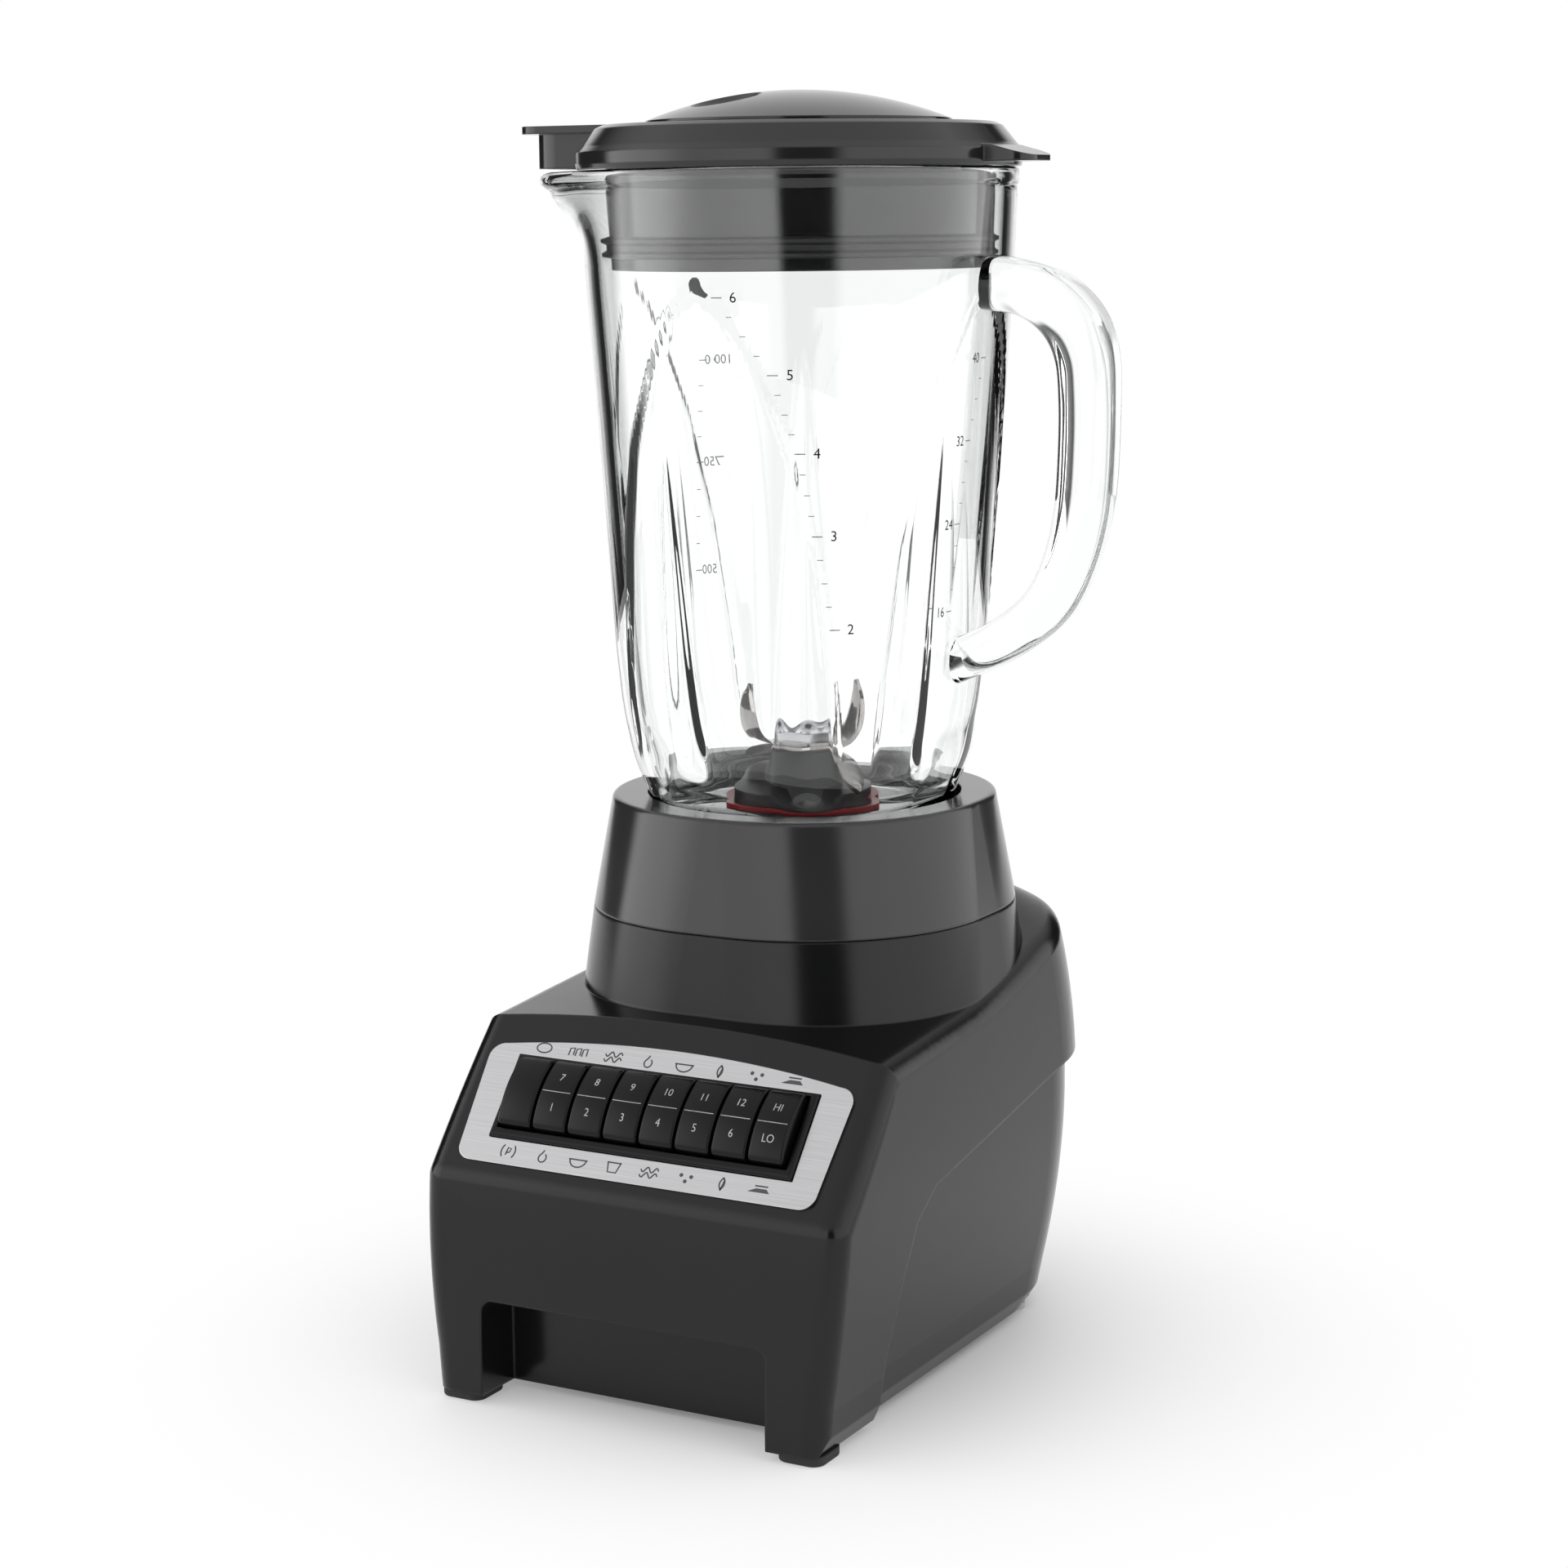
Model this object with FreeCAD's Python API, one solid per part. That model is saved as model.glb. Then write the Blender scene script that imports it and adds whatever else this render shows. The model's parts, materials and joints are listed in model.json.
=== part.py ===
"""Countertop blender: a motor base with eight push keys, a glass jar with its
blade set, a lid and a fill cap. Millimetres, +Z up, front towards -Y, handle towards +X.
All the pieces are drawn about the jar's axis and moved to the row origin when exported."""
import FreeCAD, Part
import math
import os

V = FreeCAD.Vector

# ---------------------------------------------------------------- driving dimensions
JAR_AXIS = V(-5.8, 15.72, 0)          # the jar's axis seen from the row origin

FOOT_H = 3.0                          # rubber feet under the housing
BODY_BOTTOM = FOOT_H
BODY_HALF = 67.8                      # half width of the housing at its base
BODY_HALF_TOP = 71.6                  # half width at the shoulders
BODY_FRONT = -117.5
BODY_REAR = 80.0
BODY_REAR_TOP = 84.9
SECTION_TOP = 150.0
REAR_CORNER_R = 46.0
PLAN_FRONT = -130.0                   # front of the plan outline, clear of the front face
SECTION_REAR = 120.0                  # rear of the side section, clear of the back
SECTION_HALF = 90.0
FRONT_MID_Z = 28.0                    # the front face bows between its foot and the crease
FRONT_BOW = 0.4
CREASE_Y = -113.3                     # where the front face meets the sloping panel
CREASE_Z = 70.6
EDGE_R = 7.0                          # rounding of the housing's main edges
WALL = 2.8
SIDE_STEP = 3.6                       # depth of the step along the flanks

NOTCH_HALF = 49.0
NOTCH_TOP = 33.3
NOTCH_BACK = -100.0

PANEL_TOP = V(0, -84.05, 105.0)       # top middle of the silver plate
PANEL_SLOPE = math.radians(49.46)
PLATE_H = 40.36
PLATE_HALF_TOP = 63.0
PLATE_HALF_BOTTOM = 61.4
PLATE_BOW = 3.6
PLATE_T = 0.8
PLATE_CORNER_R = 5.0
WINDOW_HALF = 52.2                    # opening for the keys, in the plate and the housing
WINDOW_V = (4.0, 32.2)
BEZEL_HALF = 52.0
BEZEL_V = (4.2, 32.0)
BEZEL_IN_HALF = 49.9
BEZEL_IN_V = (5.6, 29.4)

KEY_COUNT = 8
KEY_PITCH = 12.35
KEY_W = 11.6
KEY_LENGTH = 22.6
KEY_MID_V = 17.3                      # middle of the key row, down the slope from PANEL_TOP
KEY_PROUD = 6.9
KEY_DEPTH = 9.0                       # reach of the stem below the plate
KEY_SKIRT = 4.0                       # reach of the cap below the plate

RING_HALF = 67.2                      # raised ring of the housing around the motor top
RING_CORNER_R = 57.5
RING_SEAM_Z = 139.8
COLLAR_HALF = 64.6
COLLAR_TOP_HALF = 59.8
COLLAR_TOP_Z = 175.0
SEAT_Z = 167.0                        # where the jar's foot rests
SEAT_R = 47.5
WELL_R = 37.0
WELL_Z = 150.0

JAR_RIM_Z = 368.5
GLASS = 4.0
JAR_FLOOR_Z = 172.5

LID_R = 68.2
LID_TOP_Z = 382.0
CAP_R = 47.0
CAP_TOP_Z = 392.3

SHAFT_R = 4.0
RUN_CLEAR = 0.05                      # radial clearance of a running fit
FIT = 0.25                            # gap between bodies that pull apart

PARTS = {}


def add(name, shape):
    PARTS[name] = shape


# ---------------------------------------------------------------- small helpers
def box(x0, x1, y0, y1, z0, z1):
    return Part.makeBox(x1 - x0, y1 - y0, z1 - z0, V(x0, y0, z0))


def cyl(r, z0, z1, x=0.0, y=0.0):
    return Part.makeCylinder(r, z1 - z0, V(x, y, z0))


def tube(r_out, r_in, z0, z1):
    return cyl(r_out, z0, z1).cut(cyl(r_in, z0 - 1, z1 + 1))


def revolve(points):
    """Solid of revolution from (radius, height) corners."""
    wire = Part.makePolygon([V(r, 0, z) for r, z in points] + [V(points[0][0], 0, points[0][1])])
    return Part.Face(wire).revolve(V(0, 0, 0), V(0, 0, 1), 360)


def spline(points):
    curve = Part.BSplineCurve()
    curve.interpolate([V(*p) for p in points])
    return curve.toShape()


def corner_arc(cx, cy, z, r, start):
    """Quarter circle about (cx, cy), from the angle start in degrees."""
    angles = [math.radians(start + a) for a in (0, 45, 90)]
    points = [V(cx + r * math.cos(a), cy + r * math.sin(a), z) for a in angles]
    return Part.Arc(*points).toShape()


def rounded_outline(x0, x1, y0, y1, radii, z):
    """Closed outline with corner radii in the order +x+y, -x+y, -x-y, +x-y."""
    centres = ((x1, y1, -1, -1), (x0, y1, 1, -1), (x0, y0, 1, 1), (x1, y0, -1, 1))
    arcs = []
    for i, (x, y, sx, sy) in enumerate(centres):
        arcs.append(corner_arc(x + sx * radii[i], y + sy * radii[i], z, radii[i], 90 * i))
    edges = []
    for i, arc in enumerate(arcs):
        edges.append(arc)
        following = arcs[(i + 1) % 4]
        edges.append(Part.makeLine(arc.Vertexes[-1].Point, following.Vertexes[0].Point))
    return Part.Wire(edges)


def rounded_square(half, r, z):
    return rounded_outline(-half, half, -half, half, (r, r, r, r), z)


def prism(wire, height):
    return Part.Face(wire).extrude(V(0, 0, height))


def loft(wires, ruled=False):
    return Part.makeLoft(wires, True, ruled)


def extrude_x(edges, half):
    face = Part.Face(Part.Wire(Part.__sortEdges__(edges)))
    solid = face.extrude(V(2 * half, 0, 0))
    solid.translate(V(-half, 0, 0))
    return solid


def polygon_yz(points):
    closed = list(points) + [points[0]]
    return [Part.makeLine(V(0, *a), V(0, *b)) for a, b in zip(closed, closed[1:])]


def to_panel(shape):
    """Lays a shape drawn flat (x, -v, w) on the sloping control panel."""
    placed = shape.copy()
    placed.rotate(V(0, 0, 0), V(1, 0, 0), math.degrees(PANEL_SLOPE))
    placed.translate(PANEL_TOP)
    return placed


def panel_box(x0, x1, v0, v1, w0, w1):
    return box(x0, x1, -v1, -v0, w0, w1)


def edges_near(shape, test):
    """Edges whose two ends and middle all pass the test."""
    found = []
    for edge in shape.Edges:
        low, high = edge.ParameterRange
        probes = [edge.valueAt(low + (high - low) * k) for k in (0.02, 0.5, 0.98)]
        if all(test(p) for p in probes):
            found.append(edge)
    return found


# ---------------------------------------------------------------- housing
def panel_y(z):
    """Y of the sloping panel plane at height z."""
    return PANEL_TOP.y + (z - PANEL_TOP.z) / math.tan(PANEL_SLOPE)


def side_profile(inset):
    """Front face, sloping panel and back, as one solid as wide as the housing."""
    front = BODY_FRONT + inset
    foot = V(0, front, BODY_BOTTOM)
    crease = V(0, CREASE_Y + inset, CREASE_Z)
    edges = [Part.Arc(foot, V(0, front + FRONT_BOW, FRONT_MID_Z), crease).toShape()]
    slope_foot = crease
    if inset:
        slope_foot = V(0, panel_y(CREASE_Z) + inset / math.sin(PANEL_SLOPE), CREASE_Z)
        edges.append(Part.makeLine(crease, slope_foot))
    slope_run = (SECTION_TOP - CREASE_Z) / math.tan(PANEL_SLOPE)
    corners = [slope_foot, V(0, slope_foot.y + slope_run, SECTION_TOP), V(0, SECTION_REAR, SECTION_TOP),
               V(0, SECTION_REAR, BODY_BOTTOM), foot]
    edges += [Part.makeLine(a, b) for a, b in zip(corners, corners[1:])]
    return extrude_x(edges, SECTION_HALF)


def plan_body(inset):
    """Outline in plan: square front corners, large rear corners, rounded-under base."""
    def outline(half, rear, z):
        r = REAR_CORNER_R - inset
        return rounded_outline(-half + inset, half - inset, PLAN_FRONT, rear - inset, (r, r, 0.5, 0.5), z)
    top = loft([outline(BODY_HALF, BODY_REAR, 16), outline(BODY_HALF_TOP, BODY_REAR_TOP, 100),
                outline(BODY_HALF_TOP - 6.0, BODY_REAR_TOP - 12.0, SECTION_TOP)])
    middle = loft([outline(BODY_HALF - 0.6, BODY_REAR - 3.0, 8), outline(BODY_HALF, BODY_REAR, 16)])
    base = loft([outline(BODY_HALF - 2.6, BODY_REAR - 9.0, BODY_BOTTOM),
                 outline(BODY_HALF - 0.6, BODY_REAR - 3.0, 8)])
    return top.fuse(middle).fuse(base)


# Deck stations from front to rear: y, height at the side edges, height at the middle.
DECK = ((-135, 109.2, 112.6), (-90, 110.4, 114.6), (-60, 112.2, 116.0), (-30, 114.3, 118.0),
        (0, 117.8, 121.6), (25, 123.2, 128.4), (45, 127.4, 135.6), (58, 127.0, 140.2),
        (68, 121.5, 141.2), (77, 112.0, 136.0), (83, 101.0, 124.0), (90, 82.0, 98.0))
DECK_EDGE = 70.0


def deck_body(inset):
    """Everything under the deck, which rises to the rear and is crowned across."""
    sections = []
    reach = SECTION_HALF
    for y, side, middle in DECK:
        end = middle - (middle - side) * (reach / DECK_EDGE) ** 2 - inset
        top = V(0, y, middle - inset)
        arc = Part.Arc(V(-reach, y, end), top, V(reach, y, end)).toShape()
        ends = [V(reach, y, end), V(reach, y, -20), V(-reach, y, -20), V(-reach, y, end)]
        lines = [Part.makeLine(a, b) for a, b in zip(ends, ends[1:])]
        sections.append(Part.Wire([arc] + lines))
    return loft(sections)


def round_edges(shape, r):
    """Rounds the front corners, the panel's frame and the deck's side edges."""
    def outer(p):
        wide = abs(p.x) > BODY_HALF - 6.5
        return p.z > BODY_BOTTOM + 0.5 and (wide and p.y < 20 or p.z > 85 and p.y > 18)
    def crease(p):
        return abs(p.z - CREASE_Z) < 1.5 and p.y < -110
    edges = edges_near(shape, outer) + edges_near(shape, crease)
    return shape.makeFillet(r, edges)


# Border of the stepped flank: y, height.
FLANK = ((130, 92), (42, 84), (-52, 68.2), (-64, 60), (-71, 46), (-78, 24), (-82, -10), (130, -10))


def flank_region():
    """The low rear part of each flank that is stepped in."""
    return extrude_x(polygon_yz(FLANK), SECTION_HALF + 5)


def outer_body():
    body = side_profile(0).common(plan_body(0)).common(deck_body(0))
    body = round_edges(body, EDGE_R)
    low = body.common(flank_region()).common(plan_body(SIDE_STEP))
    return body.cut(flank_region()).fuse(low)


def ring_body(inset, top):
    """Raised ring between the deck and the collar, a rounded square in plan."""
    lower = rounded_square(RING_HALF + 1.6 - inset, RING_CORNER_R - inset, 100)
    upper = rounded_square(COLLAR_HALF - inset, RING_CORNER_R - inset, top)
    return loft([lower, upper], ruled=True)


def collar_space():
    """Room above the seam for the collar, where the rear shoulder rises beside it."""
    gap = 0.5
    low = rounded_square(COLLAR_HALF + gap, RING_CORNER_R + gap, RING_SEAM_Z)
    return prism(low, 20)


def notch():
    r = 4.0
    wire = rounded_outline(-NOTCH_HALF, NOTCH_HALF, -20, NOTCH_TOP, (r, r, 0.5, 0.5), 0)
    cutter = prism(wire, 60)
    cutter.rotate(V(0, 0, 0), V(1, 0, 0), 90)
    cutter.translate(V(0, NOTCH_BACK, 0))
    return cutter


def cavity():
    """Inside of the housing, open at the bottom."""
    hollow = side_profile(WALL).common(plan_body(SIDE_STEP + WALL)).common(deck_body(WALL))
    block = box(-100, 100, PLAN_FRONT, NOTCH_BACK + WALL, -5, NOTCH_TOP + WALL)
    hollow = hollow.cut(block)
    hollow = hollow.fuse(ring_body(WALL, RING_SEAM_Z - WALL))
    return hollow.fuse(prism(cover_outline(0, BODY_BOTTOM - 1), 14))


def cover_outline(gap, z):
    """Outline of the opening under the housing, drawn in by a gap."""
    front = NOTCH_BACK + WALL + 1 + gap
    return rounded_outline(-COVER_HALF + gap, COVER_HALF - gap, front, COVER_REAR - gap, COVER_CORNERS, z)


def cord_hole():
    return Part.makeCylinder(CORD_HOLE_R, 30, V(CORD_X, 60, CORD_Z), V(0, 1, 0))


def rear_vents():
    slots = []
    for i in range(VENT_COUNT):
        x = VENT_PITCH * (i - (VENT_COUNT - 1) / 2)
        slots.append(box(x - SLOT_HALF, x + SLOT_HALF, 60, 100, *VENT_Z))
    return Part.Compound(slots)


COVER_HALF = 60.0
COVER_REAR = 70.0
COVER_CORNERS = (38.0, 38.0, 4.0, 4.0)
COVER_T = 2.6
CORD_X = -30.0
CORD_Z = 30.0
CORD_HOLE_R = 7.0
CORD_R = 3.6
VENT_COUNT = 7
VENT_PITCH = 9.0
VENT_Z = (48.0, 72.0)
SLOT_HALF = 1.6
MOTOR_HOLE_R = 24.0                   # hole in the top of the ring round the shaft and slinger
FOOT_STUD_R = 3.0
BASE_BOSSES = [(57.5, -78), (-57.5, -78), (57.0, 36), (-57.0, 36)]
BASE_BOSS_TOP = 38.0
BOSS_R = 5.0
MOTOR_BOSSES = [(38.5, 0), (-38.5, 0)]
COLLAR_SCREWS = [(32, 32), (-32, 32), (-32, -32), (32, -32)]
REAR_FEET = [(44, 46), (-44, 46)]
REAR_FOOT_R = 8.5
FRONT_FOOT_X = (51.0, 66.0)
FRONT_FOOT_Y = (-116.0, -100.6)
SCREW_R = 1.8
BRIDGE_TOP = 104.0
SWITCH_EAR_X = 55.5
SWITCH_TOP_W = -13.2
CONTACT_V = (9.0, 26.0)


def bosses():
    """Screw posts moulded inside the housing."""
    posts = []
    for x, y in BASE_BOSSES:
        posts.append(cyl(BOSS_R, BODY_BOTTOM + COVER_T, BASE_BOSS_TOP, x, y))
    for x, y in MOTOR_BOSSES:
        posts.append(cyl(BOSS_R, BRIDGE_TOP, RING_SEAM_Z - 1.0, x, y))
    for x in (-SWITCH_EAR_X, SWITCH_EAR_X):
        post = Part.makeCylinder(4.0, -SWITCH_TOP_W - 1.0, V(x, -KEY_MID_V, SWITCH_TOP_W))
        posts.append(to_panel(post))
    return posts


def screw_holes():
    holes = []
    for x, y in BASE_BOSSES:
        holes.append(cyl(SCREW_R, 0, 24, x, y))
    for x, y in MOTOR_BOSSES:
        holes.append(cyl(SCREW_R, 90, 122, x, y))
    for x, y in COLLAR_SCREWS:
        holes.append(cyl(SCREW_R, 130, 150, x, y))
    for x in (-SWITCH_EAR_X, SWITCH_EAR_X):
        holes.append(to_panel(Part.makeCylinder(SCREW_R, 20, V(x, -KEY_MID_V, -22))))
    for side in (-1, 1):
        x = side * (FRONT_FOOT_X[0] + FRONT_FOOT_X[1]) / 2
        holes.append(cyl(FOOT_STUD_R, 0, 9, x, (FRONT_FOOT_Y[0] + FRONT_FOOT_Y[1]) / 2))
    return Part.Compound(holes)


def base_housing():
    """One moulded shell: legs, front, panel frame, flanks, deck and the raised ring."""
    body = outer_body().fuse(ring_body(0, RING_SEAM_Z))
    body = body.cut(notch()).cut(cavity())
    for post in bosses():
        body = body.fuse(post)
    body = body.cut(cyl(MOTOR_HOLE_R, 120, 160)).cut(collar_space())
    body = body.cut(to_panel(panel_box(-WINDOW_HALF, WINDOW_HALF, *WINDOW_V, -5, 12)))
    body = body.cut(cord_hole()).cut(rear_vents()).cut(screw_holes())
    return body.removeSplitter()


AIR_SLOTS = 9
AIR_PITCH = 8.0
AIR_R = 38.0                          # circle of air slots under the fan


def bottom_cover():
    """Flat cover that closes the base, slotted under the fan."""
    plate = prism(cover_outline(0.25, BODY_BOTTOM), COVER_T)
    for i in range(AIR_SLOTS):
        x = AIR_PITCH * (i - (AIR_SLOTS - 1) / 2)
        reach = math.sqrt(AIR_R ** 2 - x ** 2)
        plate = plate.cut(box(x - SLOT_HALF, x + SLOT_HALF, -reach, reach, 0, 10))
    for x, y in BASE_BOSSES:
        plate = plate.cut(cyl(SCREW_R, 0, 10, x, y))
    for x, y in REAR_FEET:
        plate = plate.cut(cyl(FOOT_STUD_R, 0, 10, x, y))
    return plate


def rubber_feet():
    """Two square front feet under the legs and two round rear feet."""
    feet = []
    for side in (-1, 1):
        x0, x1 = sorted((side * FRONT_FOOT_X[0], side * FRONT_FOOT_X[1]))
        pad = prism(rounded_outline(x0, x1, *FRONT_FOOT_Y, (4, 4, 4, 4), 0), FOOT_H)
        pad = pad.makeFillet(0.8, edges_near(pad, lambda p: p.z < 0.1))
        feet.append(pad.fuse(cyl(FOOT_STUD_R, FOOT_H, 8.5, (x0 + x1) / 2, sum(FRONT_FOOT_Y) / 2)))
    for x, y in REAR_FEET:
        pad = cyl(REAR_FOOT_R, 0, FOOT_H, x, y)
        pad = pad.makeFillet(0.8, edges_near(pad, lambda p: p.z < 0.1))
        feet.append(pad.fuse(cyl(FOOT_STUD_R, FOOT_H, FOOT_H + COVER_T, x, y)))
    return Part.Compound(feet)


HEAD_R = 3.4
HEAD_H = 1.8


def screw(x, y, head_z, shank_z, head_r=HEAD_R):
    """Pan-head screw standing on (x, y), the head at head_z and the tip at shank_z."""
    head_h = HEAD_H
    up = 1 if shank_z > head_z else -1
    low = min(head_z, head_z - up * head_h)
    head = cyl(head_r, low, low + head_h, x, y)
    shank = cyl(SCREW_R, min(head_z, shank_z), max(head_z, shank_z), x, y)
    slot = box(x - 0.4, x + 0.4, y - 2.4, y + 2.4, head_z - up * head_h - 0.9, head_z - up * head_h + 0.9)
    return head.fuse(shank).cut(slot)


def base_screws():
    return Part.Compound([screw(x, y, BODY_BOTTOM, 22) for x, y in BASE_BOSSES])


def cord_inlet():
    """Grommet in the rear wall where the mains cord goes in."""
    rear = BODY_REAR + 1.5
    flange = Part.makeCylinder(9.5, 2.5, V(CORD_X, rear, CORD_Z), V(0, 1, 0))
    neck = Part.makeCylinder(CORD_HOLE_R - 0.1, 24, V(CORD_X, rear - 22, CORD_Z), V(0, 1, 0))
    bore = Part.makeCylinder(CORD_R, 40, V(CORD_X, rear - 30, CORD_Z), V(0, 1, 0))
    return flange.fuse(neck).cut(bore)


# ---------------------------------------------------------------- control panel
def control_plate():
    """Silver plate with a bowed top edge and a window for the keys."""
    r = PLATE_CORNER_R
    low = -PLATE_H
    left = [V(-PLATE_HALF_TOP, -r - 1.5, 0), V(-PLATE_HALF_BOTTOM, low + r, 0)]
    right = [V(PLATE_HALF_BOTTOM, low + r, 0), V(PLATE_HALF_TOP, -r - 1.5, 0)]
    top_left = V(-PLATE_HALF_TOP + r, -1.0, 0)
    top_right = V(PLATE_HALF_TOP - r, -1.0, 0)
    bottom_left = V(-PLATE_HALF_BOTTOM + r, low, 0)
    bottom_right = V(PLATE_HALF_BOTTOM - r, low, 0)
    k = r * 0.29
    edges = [
        Part.makeLine(left[0], left[1]),
        Part.Arc(left[1], V(-PLATE_HALF_BOTTOM + k, low + k, 0), bottom_left).toShape(),
        Part.makeLine(bottom_left, bottom_right),
        Part.Arc(bottom_right, V(PLATE_HALF_BOTTOM - k, low + k, 0), right[0]).toShape(),
        Part.makeLine(right[0], right[1]),
        Part.Arc(right[1], V(PLATE_HALF_TOP - k, -1.0 - k, 0), top_right).toShape(),
        Part.Arc(top_right, V(0, PLATE_BOW, 0), top_left).toShape(),
        Part.Arc(top_left, V(-PLATE_HALF_TOP + k, -1.0 - k, 0), left[0]).toShape(),
    ]
    plate = prism(Part.Wire(edges), PLATE_T)
    window = panel_box(-WINDOW_HALF, WINDOW_HALF, *WINDOW_V, -5, 5)
    return to_panel(plate.cut(window))


def key_bezel():
    """Black frame round the row of keys."""
    frame = panel_box(-BEZEL_HALF, BEZEL_HALF, *BEZEL_V, -4.5, 2.2)
    frame = frame.makeFillet(1.0, edges_near(frame, lambda p: p.z > 2.0))
    return to_panel(frame.cut(panel_box(-BEZEL_IN_HALF, BEZEL_IN_HALF, *BEZEL_IN_V, -10, 10)))


def key_x(index):
    """Middle of a key; index 0 is at the left."""
    return KEY_PITCH * (index - (KEY_COUNT - 1) / 2)


def key(index):
    """Bevelled push key with its stem."""
    x = key_x(index)
    v0 = KEY_MID_V - KEY_LENGTH / 2
    v1 = KEY_MID_V + KEY_LENGTH / 2
    cap = panel_box(x - KEY_W / 2, x + KEY_W / 2, v0, v1, -KEY_SKIRT, KEY_PROUD)
    cap = cap.makeChamfer(1.5, edges_near(cap, lambda p: p.z > KEY_PROUD - 0.1))
    cap = cap.makeFillet(0.5, edges_near(cap, lambda p: p.z > KEY_PROUD - 1.6))
    stem = panel_box(x - 3, x + 3, KEY_MID_V - 5, KEY_MID_V + 5, -KEY_DEPTH, -KEY_SKIRT)
    return to_panel(cap.fuse(stem))


def switch_body():
    """Moulded block of the switch bank, screwed to two posts behind the panel."""
    block = panel_box(-50.5, 50.5, 4.0, 31.0, -27, SWITCH_TOP_W)
    ears = panel_box(-60.0, 60.0, KEY_MID_V - 5, KEY_MID_V + 5, SWITCH_TOP_W - 3.0, SWITCH_TOP_W)
    body = block.fuse(ears)
    for x in (-SWITCH_EAR_X, SWITCH_EAR_X):
        body = body.cut(Part.makeCylinder(SCREW_R, 20, V(x, -KEY_MID_V, -25)))
    for i in range(KEY_COUNT):
        x = key_x(i)
        body = body.cut(panel_box(x - 4.5, x + 4.5, *CONTACT_V, SWITCH_TOP_W - 5, SWITCH_TOP_W + 1))
    return to_panel(body)


def contact_strips():
    """Brass contact under each key's stem, just past the end of its travel."""
    strips = []
    for i in range(KEY_COUNT):
        x = key_x(i)
        strips.append(to_panel(panel_box(x - 2.5, x + 2.5, *CONTACT_V, SWITCH_TOP_W - 0.5, SWITCH_TOP_W)))
    return Part.Compound(strips)


def switch_screws():
    screws = []
    for x in (-SWITCH_EAR_X, SWITCH_EAR_X):
        screws.append(to_panel(screw(x, -KEY_MID_V, SWITCH_TOP_W - 3.0, -KEY_SKIRT, 3.2)))
    return Part.Compound(screws)


# ---------------------------------------------------------------- motor
STACK_Z = (54.0, 90.0)
BOLTS = [(33, 24), (-33, -24)]
BRACKET_HUB_R = 13.0


def motor_stator():
    core = prism(rounded_outline(-42, 42, -34, 34, (8, 8, 8, 8), STACK_Z[0]), STACK_Z[1] - STACK_Z[0])
    core = core.cut(cyl(22.6, 50, 95))
    for side in (-1, 1):
        core = core.cut(box(-24, 24, min(side * 18, side * 29), max(side * 18, side * 29), 50, 95))
    for x, y in BOLTS:
        core = core.cut(cyl(2.0, 50, 95, x, y))
    return core


def field_coils():
    """Two wound coils that fill the stator's slots and bulge past its ends."""
    coils = []
    for side in (-1, 1):
        low, high = sorted((side * 22.8, side * 28.6))
        coil = box(-23.5, 23.5, low, high, STACK_Z[0] - 3, STACK_Z[1] + 7)
        coils.append(coil.makeFillet(2.2, coil.Edges))
    return Part.Compound(coils)


def motor_bracket(z_bar, z_hub, z_leg):
    """Bearing bridge: a bar across the stator with a hub and two legs."""
    bar = box(-44, 44, -9, 9, z_bar, z_bar + 4)
    hub = cyl(BRACKET_HUB_R, min(z_bar, z_hub), max(z_bar + 4, z_hub))
    shape = bar.fuse(hub)
    for x in (-33, 33):
        shape = shape.fuse(box(x - 2, x + 2, -9, 9, min(z_bar, z_leg), max(z_bar, z_leg)))
    return shape.cut(cyl(8.0, 0, 200))


def upper_bracket():
    shape = motor_bracket(BRIDGE_TOP - 4, BRIDGE_TOP + 8, STACK_Z[1])
    for x, y in MOTOR_BOSSES:
        shape = shape.cut(cyl(SCREW_R, 80, 120, x, y))
    return shape


def lower_bracket():
    return motor_bracket(36, 30, STACK_Z[0])


def bearing(z0, z1):
    return tube(8.0, SHAFT_R + RUN_CLEAR, z0, z1)


def motor_screws():
    return Part.Compound([screw(x, y, BRIDGE_TOP - 4, 120) for x, y in MOTOR_BOSSES])


def stator_bolts():
    bolts = []
    for x, y in BOLTS:
        bolt = cyl(2.0, STACK_Z[0], STACK_Z[1], x, y)
        bolt = bolt.fuse(cyl(4.0, STACK_Z[1], STACK_Z[1] + 3, x, y))
        bolts.append(bolt.fuse(cyl(4.0, STACK_Z[0] - 3, STACK_Z[0], x, y)))
    return Part.Compound(bolts)


def motor_shaft():
    return revolve([(0, 12), (SHAFT_R - 0.6, 12), (SHAFT_R, 12.6), (SHAFT_R, 145), (0, 145)])


def armature():
    """Slotted core with the winding's end turns."""
    core = tube(22.0, SHAFT_R, STACK_Z[0] + 1, STACK_Z[1] - 1)
    for i in range(12):
        slot = box(17, 24, -1.6, 1.6, 40, 100)
        slot.rotate(V(0, 0, 0), V(0, 0, 1), 30 * i)
        core = core.cut(slot)
    ends = tube(16.0, SHAFT_R, STACK_Z[0] - 3, STACK_Z[0] + 1)
    return core.fuse(ends).fuse(tube(16.0, SHAFT_R, STACK_Z[1] - 1, STACK_Z[1] + 6))


def commutator():
    drum = tube(10.5, SHAFT_R, 42, 50.5)
    for i in range(18):
        slot = box(9.4, 11, -0.3, 0.3, 40, 60)
        slot.rotate(V(0, 0, 0), V(0, 0, 1), 20 * i)
        drum = drum.cut(slot)
    return drum


def brush_holders():
    """Sleeves that hold the brushes against the commutator, one each side."""
    holders = []
    for side in (-1, 1):
        low, high = sorted((side * 14, side * 33))
        sleeve = box(-5, 5, low, high, 40.2, 50.2)
        holders.append(sleeve.cut(box(-3.2, 3.2, -40, 40, 42.0, 48.4)))
    return Part.Compound(holders)


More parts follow.
